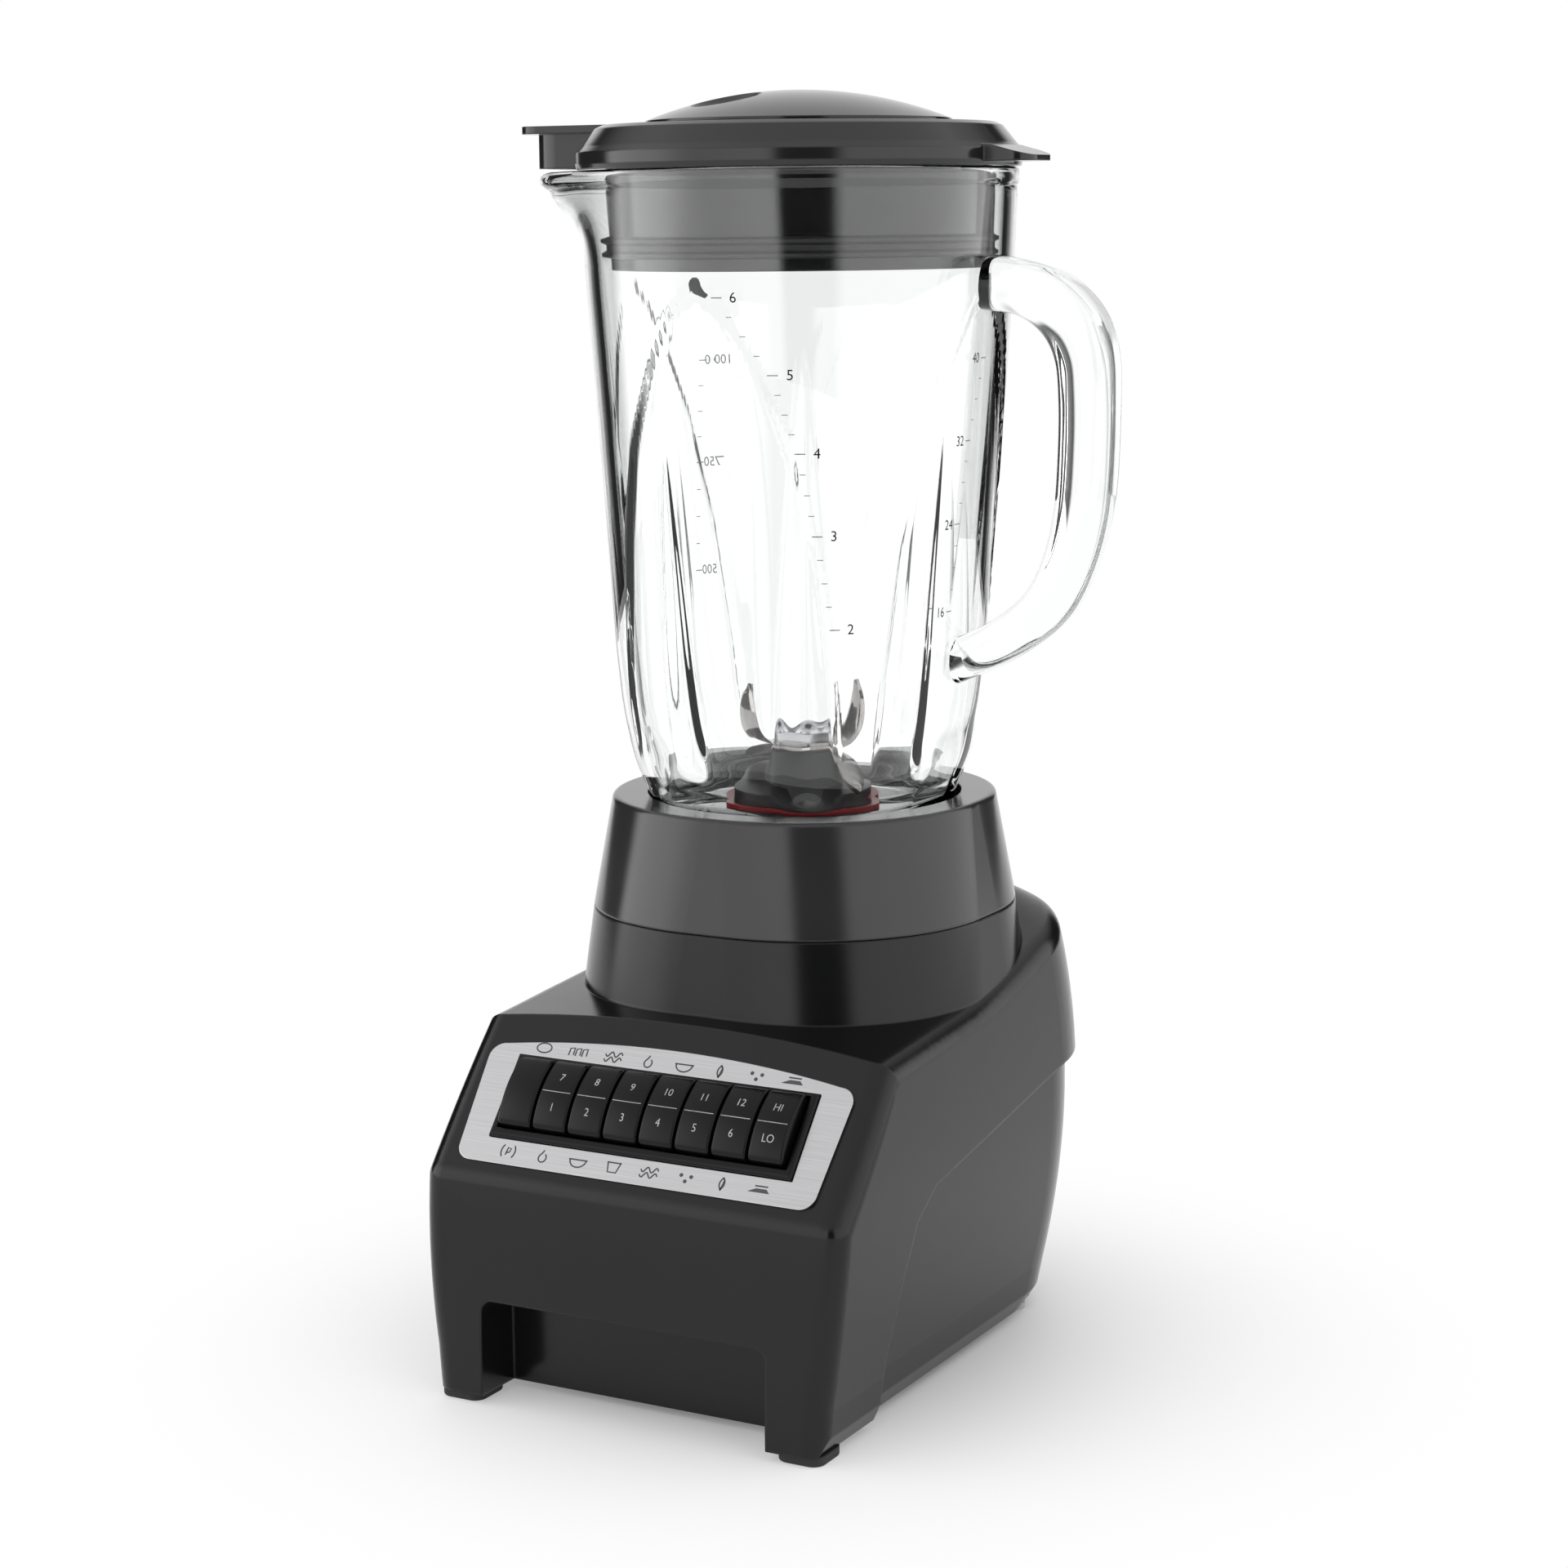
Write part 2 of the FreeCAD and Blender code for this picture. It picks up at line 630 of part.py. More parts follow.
def carbon_brushes():
    bars = []
    for side in (-1, 1):
        low, high = sorted((side * 10.9, side * 26))
        bars.append(box(-3.2, 3.2, low, high, 42.0, 48.4))
    return Part.Compound(bars)


def cooling_fan():
    """Radial fan at the bottom of the shaft."""
    fan = tube(34, SHAFT_R, 24, 26).fuse(tube(8, SHAFT_R, 15, 24))
    for i in range(11):
        blade = box(7, 33, -0.8, 0.8, 15, 24.5)
        blade.rotate(V(12, 0, 0), V(0, 0, 1), 22)
        blade.rotate(V(0, 0, 0), V(0, 0, 1), 360.0 / 11 * i)
        fan = fan.fuse(blade)
    return fan


def hexagon(r, z):
    points = [V(r * math.cos(math.radians(60 * i)), r * math.sin(math.radians(60 * i)), z) for i in range(7)]
    return Part.makePolygon(points)


HEX_R = 7.6
COUPLING_Z = (138.5, 154.0)


def drive_coupling():
    """Socket on the motor shaft that takes the jar's hexagonal stub."""
    body = cyl(13.5, *COUPLING_Z)
    body = body.cut(prism(hexagon(HEX_R + 0.35, 145.0), 20))
    return body.cut(cyl(SHAFT_R, 130, 146))


def slinger():
    """Washer on the shaft that throws spilled liquid clear of the motor."""
    return revolve([(SHAFT_R, 124.0), (17.0, 121.0), (17.0, 122.4), (SHAFT_R, 127.0)])


# ---------------------------------------------------------------- collar
LUG_ANGLES = (0, 90, 180, 270)


def jar_collar():
    """Tapered collar on the housing's ring, with the jar's seat and the clutch well."""
    def outline(half, r, inset, z):
        return rounded_square(half - inset, r - inset, z)
    base_z = RING_SEAM_Z + 0.3
    outer = loft([outline(COLLAR_HALF, RING_CORNER_R, 0, base_z),
                  outline(COLLAR_TOP_HALF, RING_CORNER_R, 0, COLLAR_TOP_Z)], ruled=True)
    outer = outer.makeFillet(1.6, edges_near(outer, lambda p: p.z > COLLAR_TOP_Z - 0.1))
    inner = loft([outline(COLLAR_HALF, RING_CORNER_R, WALL, base_z - 1),
                  outline(COLLAR_TOP_HALF + 1.6, RING_CORNER_R, WALL, SEAT_Z - 4.0)], ruled=True)
    body = outer.cut(inner)
    body = body.fuse(tube(WELL_R + 3, 20, WELL_Z - 3, SEAT_Z - 3.0))
    for x, y in COLLAR_SCREWS:
        body = body.fuse(cyl(4.5, base_z, SEAT_Z - 3.0, x, y))
    body = body.cut(cyl(WELL_R, WELL_Z, 200)).cut(cyl(49.8, SEAT_Z, 200))
    for angle in LUG_ANGLES:
        lug = box(46.2, 50.2, -5.5, 5.5, SEAT_Z - 1, SEAT_Z + 5.5)
        lug.rotate(V(0, 0, 0), V(0, 0, 1), angle)
        body = body.fuse(lug)
    for x, y in COLLAR_SCREWS:
        body = body.cut(cyl(SCREW_R, 130, 150, x, y))
    return body


def collar_screws():
    return Part.Compound([screw(x, y, RING_SEAM_Z - WALL, 150) for x, y in COLLAR_SCREWS])


# ---------------------------------------------------------------- jar
# Jar sections from the foot up: height, half width, corner radius.
JAR_SECTIONS = ((167.0, 42.4, 32.0), (172.0, 43.2, 32.0), (179.0, 46.0, 34.0), (187.0, 49.6, 38.0),
                (203.0, 53.6, 44.0), (222.0, 56.0, 48.0), (250.0, 58.2, 52.0), (295.0, 61.6, 57.0),
                (335.0, 65.0, 62.0), (JAR_RIM_Z, 67.2, 66.6))
FLOOR_UNDER_Z = 168.5
JAR_HOLE_R = 16.0
SPOUT_TIP = -91.4
SPOUT_HALF = 15.5


def jar_shell():
    outer = loft([rounded_square(half, r, z) for z, half, r in JAR_SECTIONS], ruled=True)
    inner_sections = [rounded_square(36.0, 26.0, JAR_FLOOR_Z), rounded_square(39.5, 28.0, 177.0)]
    for z, half, r in JAR_SECTIONS[3:]:
        inner_sections.append(rounded_square(half - GLASS, r - GLASS, z))
    last = rounded_square(JAR_SECTIONS[-1][1] - GLASS + 0.1, 62.6, JAR_RIM_Z + 4)
    inner = loft(inner_sections + [last], ruled=True)
    shell = outer.cut(inner)
    return shell.cut(cyl(36.0, 160, FLOOR_UNDER_Z)).cut(cyl(JAR_HOLE_R, 160, 180))


def spout_solid(tip, half, low_x, grow):
    """Open beak on the left of the rim, widening upwards."""
    def outline(x, width, z):
        r = width - 0.05
        return rounded_outline(x, -45, -width, width, (0.5, r, r, 0.5), z)
    upper = outline(tip, half, JAR_RIM_Z + grow)
    middle = outline((tip + low_x) / 2 - 1.5, half * 0.72, 353.0)
    lower = outline(low_x, half * 0.4, 340.0)
    return loft([lower, middle, upper], ruled=True)


HANDLE_OUTER = ((60.5, 343.0), (73.0, 341.4), (90.0, 336.6), (100.5, 327.0), (105.0, 315.0), (105.9, 300.0),
                (104.4, 271.0), (99.6, 251.0), (90.6, 234.0), (74.0, 221.0), (55.5, 212.5))
HANDLE_INNER = ((55.5, 226.5), (66.5, 232.2), (77.5, 240.4), (84.2, 251.0), (88.2, 266.0), (89.4, 284.0),
                (89.4, 303.0), (86.8, 315.0), (79.0, 323.2), (60.5, 326.0))
HANDLE_HALF = 9.5


def handle():
    """Loop handle: two long curves, extruded across and rounded."""
    outer = spline([(x, 0, z) for x, z in HANDLE_OUTER])
    inner = spline([(x, 0, z) for x, z in HANDLE_INNER])
    low = Part.makeLine(V(55.5, 0, 212.5), V(55.5, 0, 226.5))
    high = Part.makeLine(V(60.5, 0, 326.0), V(60.5, 0, 343.0))
    face = Part.Face(Part.Wire(Part.__sortEdges__([outer, low, inner, high])))
    solid = face.extrude(V(0, 2 * HANDLE_HALF, 0))
    solid.translate(V(0, -HANDLE_HALF, 0))
    return solid.makeFillet(6.0, edges_near(solid, lambda p: p.x > 53 and abs(abs(p.y) - HANDLE_HALF) < 0.1))


def jar():
    """Glass jar with its spout and handle in one piece."""
    shell = jar_shell()
    bore_outlines = [rounded_square(half - GLASS, r - GLASS, z) for z, half, r in JAR_SECTIONS[4:]]
    bore = loft(bore_outlines, ruled=True)
    beak = spout_solid(SPOUT_TIP, SPOUT_HALF, -66.0, 0)
    channel = spout_solid(SPOUT_TIP + 3.6, SPOUT_HALF - 3.5, -61.0, 0.1)
    shell = shell.fuse(beak.cut(bore)).cut(channel)
    return shell.fuse(handle().cut(bore))


def jar_gasket():
    return tube(24.0, JAR_HOLE_R, JAR_FLOOR_Z, JAR_FLOOR_Z + 2.0)


STEM_R = 15.6
BUSH_R = 6.0
FLANGE_Z = (174.5, 177.0)


def blade_base():
    """Bearing holder that clamps the gasket against the jar's floor."""
    low, high = FLANGE_Z
    profile = [(BUSH_R, 158.0), (STEM_R, 158.0), (STEM_R, low), (21.5, low), (21.5, high),
               (13.0, 178.5), (9.0, 186.0), (BUSH_R, 186.0)]
    return revolve(profile)


def jar_nut():
    """Castellated nut that holds the blade base to the jar from below."""
    ring = tube(32.0, STEM_R, 160.5, FLOOR_UNDER_Z)
    for i in range(8):
        gap = box(26, 40, -4, 4, 155, 164)
        gap.rotate(V(0, 0, 0), V(0, 0, 1), 45 * i)
        ring = ring.cut(gap)
    return ring


def blade_bush():
    return tube(BUSH_R, SHAFT_R + RUN_CLEAR, 158.2, 185.8)


def jar_coupling():
    """Hexagonal stub under the jar that drops into the drive socket."""
    stub = prism(hexagon(HEX_R, 147.2), 8.0)
    flange = cyl(11.0, 154.6, 157.4)
    return stub.fuse(flange).cut(cyl(SHAFT_R, 149.0, 160))


def blade_shaft():
    return cyl(SHAFT_R, 149.0, 194.0)


def blade_washer():
    return tube(5.9, SHAFT_R, 186.3, 187.0)


def blade_nut():
    nut = prism(hexagon(6.6, 190.0), 3.6)
    dome = Part.makeSphere(5.4, V(0, 0, 192.0))
    return nut.fuse(dome.cut(box(-9, 9, -9, 9, 180, 193.6))).cut(cyl(SHAFT_R, 180, 194.0))


BLADE_T = 1.5
UPPER_AZIMUTH = 52.0
LOWER_AZIMUTH = -15.0


def blade_arm(path, widths):
    """Bent arm along +X: path is (radius, height) of the lower face, widths its half widths."""
    tops = []
    for i, (r, z) in enumerate(path):
        a = path[max(i - 1, 0)]
        b = path[min(i + 1, len(path) - 1)]
        length = math.hypot(b[0] - a[0], b[1] - a[1])
        tops.append((r - (b[1] - a[1]) / length * BLADE_T, z + (b[0] - a[0]) / length * BLADE_T))
    sections = []
    for (r, z), (rt, zt), (back, front) in zip(path, tops, widths):
        corners = [V(r, back, z), V(r, front, z), V(rt, front * 0.9, zt), V(rt, back, zt), V(r, back, z)]
        sections.append(Part.makePolygon(corners))
    return loft(sections, ruled=True)


def blade(path, widths, z, azimuth):
    """Two opposite arms on a pierced hub plate."""
    shape = cyl(8.5, z, z + BLADE_T)
    for turn in (0, 180):
        arm = blade_arm(path, widths)
        arm.rotate(V(0, 0, 0), V(0, 0, 1), azimuth + turn)
        shape = shape.fuse(arm)
    return shape.cut(cyl(SHAFT_R, z - 1, z + 3))


def upper_blade():
    path = [(6.0, 188.5), (11.0, 188.8), (15.2, 192.5), (17.6, 199.0), (17.0, 210.0)]
    widths = [(-6.5, 6.5), (-6.8, 6.4), (-6.8, 5.6), (-6.0, 3.2), (-3.6, -2.4)]
    return blade(path, widths, 188.5, UPPER_AZIMUTH)


def lower_blade():
    path = [(6.0, 187.0), (12.0, 186.6), (19.0, 183.0), (26.5, 177.6)]
    widths = [(-6.5, 6.5), (-6.8, 6.6), (-6.6, 5.4), (-4.6, -1.0)]
    return blade(path, widths, 187.0, LOWER_AZIMUTH)


# ---------------------------------------------------------------- lid
LID_UNDER_Z = JAR_RIM_Z + 0.2
SKIRT_BOTTOM_Z = 338.5
CAP_HOLE_R = 26.2


def lid_cover_plate():
    """Flap of the lid that covers the spout."""
    plate = prism(rounded_outline(-94.3, -50, -17, 17, (0.5, 9, 9, 0.5), 380.4), 2.4)
    skirt = prism(rounded_outline(-90.6, -50, -14.5, 14.5, (0.5, 11, 11, 0.5), 369.6), 11.0)
    hollow = prism(rounded_outline(-88.2, -50, -12.1, 12.1, (0.5, 9, 9, 0.5), 368.0), 12.0)
    return plate.fuse(skirt.cut(hollow))


def lid():
    """Lid with a plug skirt, a spout cover and a thumb tab."""
    shell = revolve([(CAP_HOLE_R, 378.6), (56.6, 378.6), (56.0, SKIRT_BOTTOM_Z), (58.2, SKIRT_BOTTOM_Z),
                     (59.6, LID_UNDER_Z), (LID_R, LID_UNDER_Z), (LID_R + 0.6, 370.4), (LID_R + 0.6, 373.8),
                     (LID_R - 1.2, 375.6), (62.6, 381.0), (60.4, LID_TOP_Z), (CAP_HOLE_R, LID_TOP_Z)])
    cover = lid_cover_plate().cut(cyl(57.0, 330, 400))
    points = [V(60, 0, 375.0), V(70, 0, 374.6), V(82.0, 0, 371.4), V(82.0, 0, 369.8), V(60, 0, 369.6)]
    tab = Part.Face(Part.makePolygon(points + [points[0]])).extrude(V(0, 22, 0))
    tab.translate(V(0, -11, 0))
    corners = edges_near(tab, lambda p: p.x > 81.9 and abs(p.y) > 10.9 and 369.8 < p.z < 371.4)
    tab = tab.makeFillet(7.0, corners)
    return shell.fuse(cover).fuse(tab.cut(cyl(57.0, 330, 400)))


def lid_seal():
    """Soft ring with two lips round the plug skirt."""
    return revolve([(58.6, 342.0), (61.0, 342.6), (61.0, 343.6), (59.6, 344.4), (59.6, 346.0), (61.2, 346.8),
                    (61.2, 347.8), (58.8, 348.6)]).cut(lid_skirt_core())


def lid_skirt_core():
    return revolve([(0, SKIRT_BOTTOM_Z), (58.2, SKIRT_BOTTOM_Z), (59.6, LID_UNDER_Z), (0, LID_UNDER_Z)])


CAP_PLUG_Z = 352.0
CAP_WALL = 2.4
SCOOP_AZIMUTH = 241.0
SCOOP_R = 19.0
SCOOP_MID = 29.0
SCOOP_LIFT = 11.8


def fill_cap():
    """Domed cap with two finger scoops and a plug that doubles as a measure."""
    under = LID_TOP_Z + 0.25
    rise = CAP_TOP_Z - under - 1.0
    ball = (CAP_R ** 2 + rise ** 2) / (2 * rise)
    dome = Part.makeSphere(ball, V(0, 0, CAP_TOP_Z - ball)).common(cyl(CAP_R, under, CAP_TOP_Z + 1))
    plug_r = CAP_HOLE_R - FIT
    body = dome.fuse(cyl(plug_r, CAP_PLUG_Z, under + 3.0))
    body = body.cut(cyl(plug_r - CAP_WALL, CAP_PLUG_Z - 2, under + 1.0))
    for turn in (0, 180):
        scoop = Part.makeSphere(SCOOP_R, V(SCOOP_MID, 0, CAP_TOP_Z + SCOOP_LIFT))
        scoop.rotate(V(0, 0, 0), V(0, 0, 1), SCOOP_AZIMUTH + turn)
        body = body.cut(scoop)
    return body


# ---------------------------------------------------------------- pieces
add("base_housing", base_housing())
add("bottom_cover", bottom_cover())
add("rubber_feet", rubber_feet())
add("base_screws", base_screws())
add("cord_inlet", cord_inlet())
add("control_plate", control_plate())
add("key_bezel", key_bezel())
for number in range(KEY_COUNT):
    add("key_%d" % (number + 1), key(number))
add("switch_body", switch_body())
add("contact_strips", contact_strips())
add("switch_screws", switch_screws())
add("motor_stator", motor_stator())
add("field_coils", field_coils())
add("upper_bracket", upper_bracket())
add("lower_bracket", lower_bracket())
add("upper_bearing", bearing(BRIDGE_TOP - 4, BRIDGE_TOP + 8))
add("lower_bearing", bearing(30, 40))
add("motor_screws", motor_screws())
add("stator_bolts", stator_bolts())
add("brush_holders", brush_holders())
add("carbon_brushes", carbon_brushes())
add("motor_shaft", motor_shaft())
add("armature", armature())
add("commutator", commutator())
add("cooling_fan", cooling_fan())
add("slinger", slinger())
add("drive_coupling", drive_coupling())
add("jar_collar", jar_collar())
add("collar_screws", collar_screws())
add("jar", jar())
add("jar_gasket", jar_gasket())
add("blade_base", blade_base())
add("jar_nut", jar_nut())
add("blade_bush", blade_bush())
add("jar_coupling", jar_coupling())
add("blade_shaft", blade_shaft())
add("blade_washer", blade_washer())
add("lower_blade", lower_blade())
add("upper_blade", upper_blade())
add("blade_nut", blade_nut())
add("lid", lid())
add("lid_seal", lid_seal())
add("fill_cap", fill_cap())


def export_all():
    os.makedirs("parts", exist_ok=True)
    low = [1e9] * 3
    high = [-1e9] * 3
    for name, shape in PARTS.items():
        placed = shape.copy()
        placed.translate(JAR_AXIS)
        placed.exportStep("parts/" + name + ".step")
        bounds = placed.optimalBoundingBox(False)
        low = [min(a, b) for a, b in zip(low, (bounds.XMin, bounds.YMin, bounds.ZMin))]
        high = [max(a, b) for a, b in zip(high, (bounds.XMax, bounds.YMax, bounds.ZMax))]
        print(name, "valid", placed.isValid(), "solids", len(placed.Solids), "volume", round(placed.Volume))
    print("box", [round(v, 3) for v in low], [round(v, 3) for v in high])


export_all()
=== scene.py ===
"""Looks of the countertop blender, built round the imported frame. Metres, +Z up, front towards -Y."""
import json
import math

import bmesh
import bpy
import numpy as np
from mathutils import Matrix, Vector


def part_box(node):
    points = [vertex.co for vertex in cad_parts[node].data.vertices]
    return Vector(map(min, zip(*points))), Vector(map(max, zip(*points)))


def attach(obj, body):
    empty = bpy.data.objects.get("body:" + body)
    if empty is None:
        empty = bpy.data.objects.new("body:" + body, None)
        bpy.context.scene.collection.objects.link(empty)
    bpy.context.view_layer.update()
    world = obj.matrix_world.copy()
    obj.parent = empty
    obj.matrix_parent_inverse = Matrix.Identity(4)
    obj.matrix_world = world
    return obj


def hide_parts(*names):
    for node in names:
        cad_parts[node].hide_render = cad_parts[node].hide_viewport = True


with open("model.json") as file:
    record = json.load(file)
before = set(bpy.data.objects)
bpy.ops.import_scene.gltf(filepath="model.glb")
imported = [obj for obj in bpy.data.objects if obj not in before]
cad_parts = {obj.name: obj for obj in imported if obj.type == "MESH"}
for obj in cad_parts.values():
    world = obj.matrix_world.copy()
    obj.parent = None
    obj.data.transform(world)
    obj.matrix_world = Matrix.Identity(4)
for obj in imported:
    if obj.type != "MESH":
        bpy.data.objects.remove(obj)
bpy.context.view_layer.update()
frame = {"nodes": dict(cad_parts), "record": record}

MM = 0.001
NODES = frame["nodes"]


def node_middle(node):
    low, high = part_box(node)
    return (low + high) / 2


AXIS = node_middle("blade_shaft")          # the jar's axis, in the row frame
AXIS_X, AXIS_Y = AXIS.x, AXIS.y


def at(x, y, z):
    """Row-frame point from millimetres about the jar's axis."""
    return Vector((AXIS_X + x * MM, AXIS_Y + y * MM, z * MM))


# ---------------------------------------------------------------- camera and light
CAMERA_AZIMUTH = math.radians(28.545)
CAMERA_DISTANCE = 1026.4
CAMERA_HEIGHT = 355.8
CAMERA_PITCH = math.radians(9.907)
CAMERA_YAW = math.radians(0.363)
CAMERA_ROLL = math.radians(-0.567)
CAMERA_LENS = 75.33


def make_camera():
    data = bpy.data.cameras.new("camera")
    camera = bpy.data.objects.new("camera", data)
    bpy.context.scene.collection.objects.link(camera)
    look = CAMERA_AZIMUTH + CAMERA_YAW
    forward = Vector((-math.sin(look) * math.cos(CAMERA_PITCH),
                      math.cos(look) * math.cos(CAMERA_PITCH), -math.sin(CAMERA_PITCH)))
    right = Vector((math.cos(look), math.sin(look), 0))
    up = right.cross(forward)
    turned = right * math.cos(CAMERA_ROLL) + up * math.sin(CAMERA_ROLL)
    up = turned.cross(forward)
    place = at(CAMERA_DISTANCE * math.sin(CAMERA_AZIMUTH),
               -CAMERA_DISTANCE * math.cos(CAMERA_AZIMUTH), CAMERA_HEIGHT)
    matrix = Matrix((turned, up, -forward)).transposed().to_4x4()
    matrix.translation = place
    camera.matrix_world = matrix
    data.lens = CAMERA_LENS
    data.sensor_width = 36.0
    data.clip_start = 0.05
    data.clip_end = 60
    bpy.context.scene.camera = camera


# The surround: degrees to the right of the camera's side of the object, and brightness near the horizon.
PEAK = 2.6
SURROUND = ((-180, 1.0), (-161, 1.0), (-153, 0.02), (-118, 0.02), (-110, 2.4), (-80, 2.5),
            (-54, 1.5), (-16, 1.7), (-9, 0.02), (15, 0.02), (25, 1.5), (60, 1.6), (120, 1.6),
            (127, 0.02), (153, 0.02), (161, 1.0), (179.9, 1.0))
TOP_SHARE = 0.36                       # brightness overhead, as a share of the peak
TOP_START, TOP_END = 0.35, 0.8         # upward part of a direction over which the top takes over


def make_world():
    """Studio surround, fixed in the room: soft light panels with dark gaps between them.

    The backdrop seen directly is plain white. Only lighting, reflections and refractions see the
    panels. Their places were tuned for the main view, so the glass looks different from
    behind.
    """
    world = bpy.data.worlds.new("studio")
    bpy.context.scene.world = world
    world.use_nodes = True
    tree = world.node_tree
    tree.nodes.clear()
    link = tree.links.new

    def maths(operation, *inputs):
        made = tree.nodes.new("ShaderNodeMath")
        made.operation = operation
        for index, value in enumerate(inputs):
            if isinstance(value, (int, float)):
                made.inputs[index].default_value = value
            else:
                link(value, made.inputs[index])
        return made.outputs[0]

    out = tree.nodes.new("ShaderNodeOutputWorld")
    coords = tree.nodes.new("ShaderNodeTexCoord")
    split = tree.nodes.new("ShaderNodeSeparateXYZ")
    link(coords.outputs["Generated"], split.inputs[0])
    angle = maths("ARCTAN2", split.outputs["X"], maths("MULTIPLY", split.outputs["Y"], -1.0))
    shifted = maths("SUBTRACT", angle, CAMERA_AZIMUTH - math.pi)
    turn = maths("DIVIDE", maths("WRAP", shifted, 2 * math.pi, 0.0), 2 * math.pi)

    ramp = tree.nodes.new("ShaderNodeValToRGB")
    ramp.color_ramp.interpolation = "EASE"
    link(turn, ramp.inputs[0])
    elements = ramp.color_ramp.elements
    while len(elements) > 1:
        elements.remove(elements[-1])
    for i, (degrees, value) in enumerate(SURROUND):
        position = (degrees + 180) / 360
        element = elements[0] if i == 0 else elements.new(position)
        element.position = position
        element.color = (value / PEAK, value / PEAK, value / PEAK, 1)

    zenith = node(tree, "ShaderNodeMapRange", **{"From Min": TOP_START, "From Max": TOP_END})
    zenith.interpolation_type = "SMOOTHSTEP"
    link(split.outputs["Z"], zenith.inputs["Value"])
    top = tree.nodes.new("ShaderNodeMix")
    top.data_type = "RGBA"
    top.inputs["B"].default_value = (TOP_SHARE, TOP_SHARE, TOP_SHARE, 1)
    link(zenith.outputs[0], top.inputs["Factor"])
    link(ramp.outputs[0], top.inputs["A"])
    lit = node(tree, "ShaderNodeBackground", Strength=PEAK)
    link(top.outputs["Result"], lit.inputs["Color"])
    plain = node(tree, "ShaderNodeBackground", Color=(1, 1, 1, 1), Strength=1.0)
    path = tree.nodes.new("ShaderNodeLightPath")
    mix = tree.nodes.new("ShaderNodeMixShader")
    link(path.outputs["Is Camera Ray"], mix.inputs[0])
    link(lit.outputs[0], mix.inputs[1])
    link(plain.outputs[0], mix.inputs[2])
    link(mix.outputs[0], out.inputs["Surface"])


FLOOR_RADIUS = 1.6
GLOW_START, GLOW_END = 0.03, 0.23      # metres from the middle over which the floor turns self-lit


def make_floor():
    """Pale floor, lit under the object and self-lit further out, where it meets the backdrop."""
    bpy.ops.mesh.primitive_circle_add(vertices=96, radius=FLOOR_RADIUS, fill_type="TRIFAN", location=(0, 0, 0))
    floor = bpy.context.object
    floor.name = "floor"
    material, tree, shader = new_material("studio_floor", (0.93, 0.93, 0.93), 0.6)
    vector = object_coords(tree)
    colour_ramp(tree, noise(tree, vector, 3.0), shader.inputs["Base Color"],
                (0.95, 0.95, 0.95), (0.97, 0.97, 0.97))
    length = tree.nodes.new("ShaderNodeVectorMath")
    length.operation = "LENGTH"
    tree.links.new(vector, length.inputs[0])
    fade = node(tree, "ShaderNodeMapRange", **{"From Min": GLOW_START, "From Max": GLOW_END})
    fade.interpolation_type = "SMOOTHSTEP"
    tree.links.new(length.outputs["Value"], fade.inputs["Value"])
    glow = node(tree, "ShaderNodeEmission", Color=(1, 1, 1, 1), Strength=1.0)
    mix = tree.nodes.new("ShaderNodeMixShader")
    tree.links.new(fade.outputs[0], mix.inputs[0])
    tree.links.new(shader.outputs[0], mix.inputs[1])
    tree.links.new(glow.outputs[0], mix.inputs[2])
    tree.links.new(mix.outputs[0], tree.nodes["Material Output"].inputs["Surface"])
    floor.data.materials.append(material)


# ---------------------------------------------------------------- material helpers
def node(tree, kind, **values):
    made = tree.nodes.new(kind)
    for key, value in values.items():
        made.inputs[key].default_value = value
    return made


def new_material(name, colour, roughness, metallic=0.0):
    material = bpy.data.materials.new(name)
    material.use_nodes = True
    tree = material.node_tree
    shader = tree.nodes["Principled BSDF"]
    shader.inputs["Base Color"].default_value = (*colour, 1)
    shader.inputs["Roughness"].default_value = roughness
    shader.inputs["Metallic"].default_value = metallic
    return material, tree, shader


def object_coords(tree, scale=(1, 1, 1)):
    coords = tree.nodes.new("ShaderNodeTexCoord")
    mapping = tree.nodes.new("ShaderNodeMapping")
    mapping.inputs["Scale"].default_value = scale
    tree.links.new(coords.outputs["Object"], mapping.inputs["Vector"])
    return mapping.outputs["Vector"]


def noise(tree, vector, scale, detail=4.0, rough=0.5):
    made = node(tree, "ShaderNodeTexNoise", Scale=scale, Detail=detail, Roughness=rough)
    tree.links.new(vector, made.inputs["Vector"])
    return made.outputs["Fac"]


def colour_ramp(tree, source, target, dark, light, low=0.35, high=0.65):
    ramp = tree.nodes.new("ShaderNodeValToRGB")
    ramp.color_ramp.elements[0].position = low
    ramp.color_ramp.elements[1].position = high
    ramp.color_ramp.elements[0].color = (*dark, 1)
    ramp.color_ramp.elements[1].color = (*light, 1)
    tree.links.new(source, ramp.inputs[0])
    tree.links.new(ramp.outputs[0], target)
    return ramp


def value_range(tree, source, target, low, high):
    made = node(tree, "ShaderNodeMapRange", **{"From Min": 0.3, "From Max": 0.7, "To Min": low, "To Max": high})
    tree.links.new(source, made.inputs["Value"])
    tree.links.new(made.outputs[0], target)


def bump(tree, shader, height, distance, strength, edge=0.0):
    """Bump from a height, over edges softened by a small radius."""
    made = node(tree, "ShaderNodeBump", Strength=strength, Distance=distance)
    tree.links.new(height, made.inputs["Height"])
    if edge:
        soft = tree.nodes.new("ShaderNodeBevel")
        soft.samples = 6
        soft.inputs["Radius"].default_value = edge
        tree.links.new(soft.outputs[0], made.inputs["Normal"])
    tree.links.new(made.outputs[0], shader.inputs["Normal"])


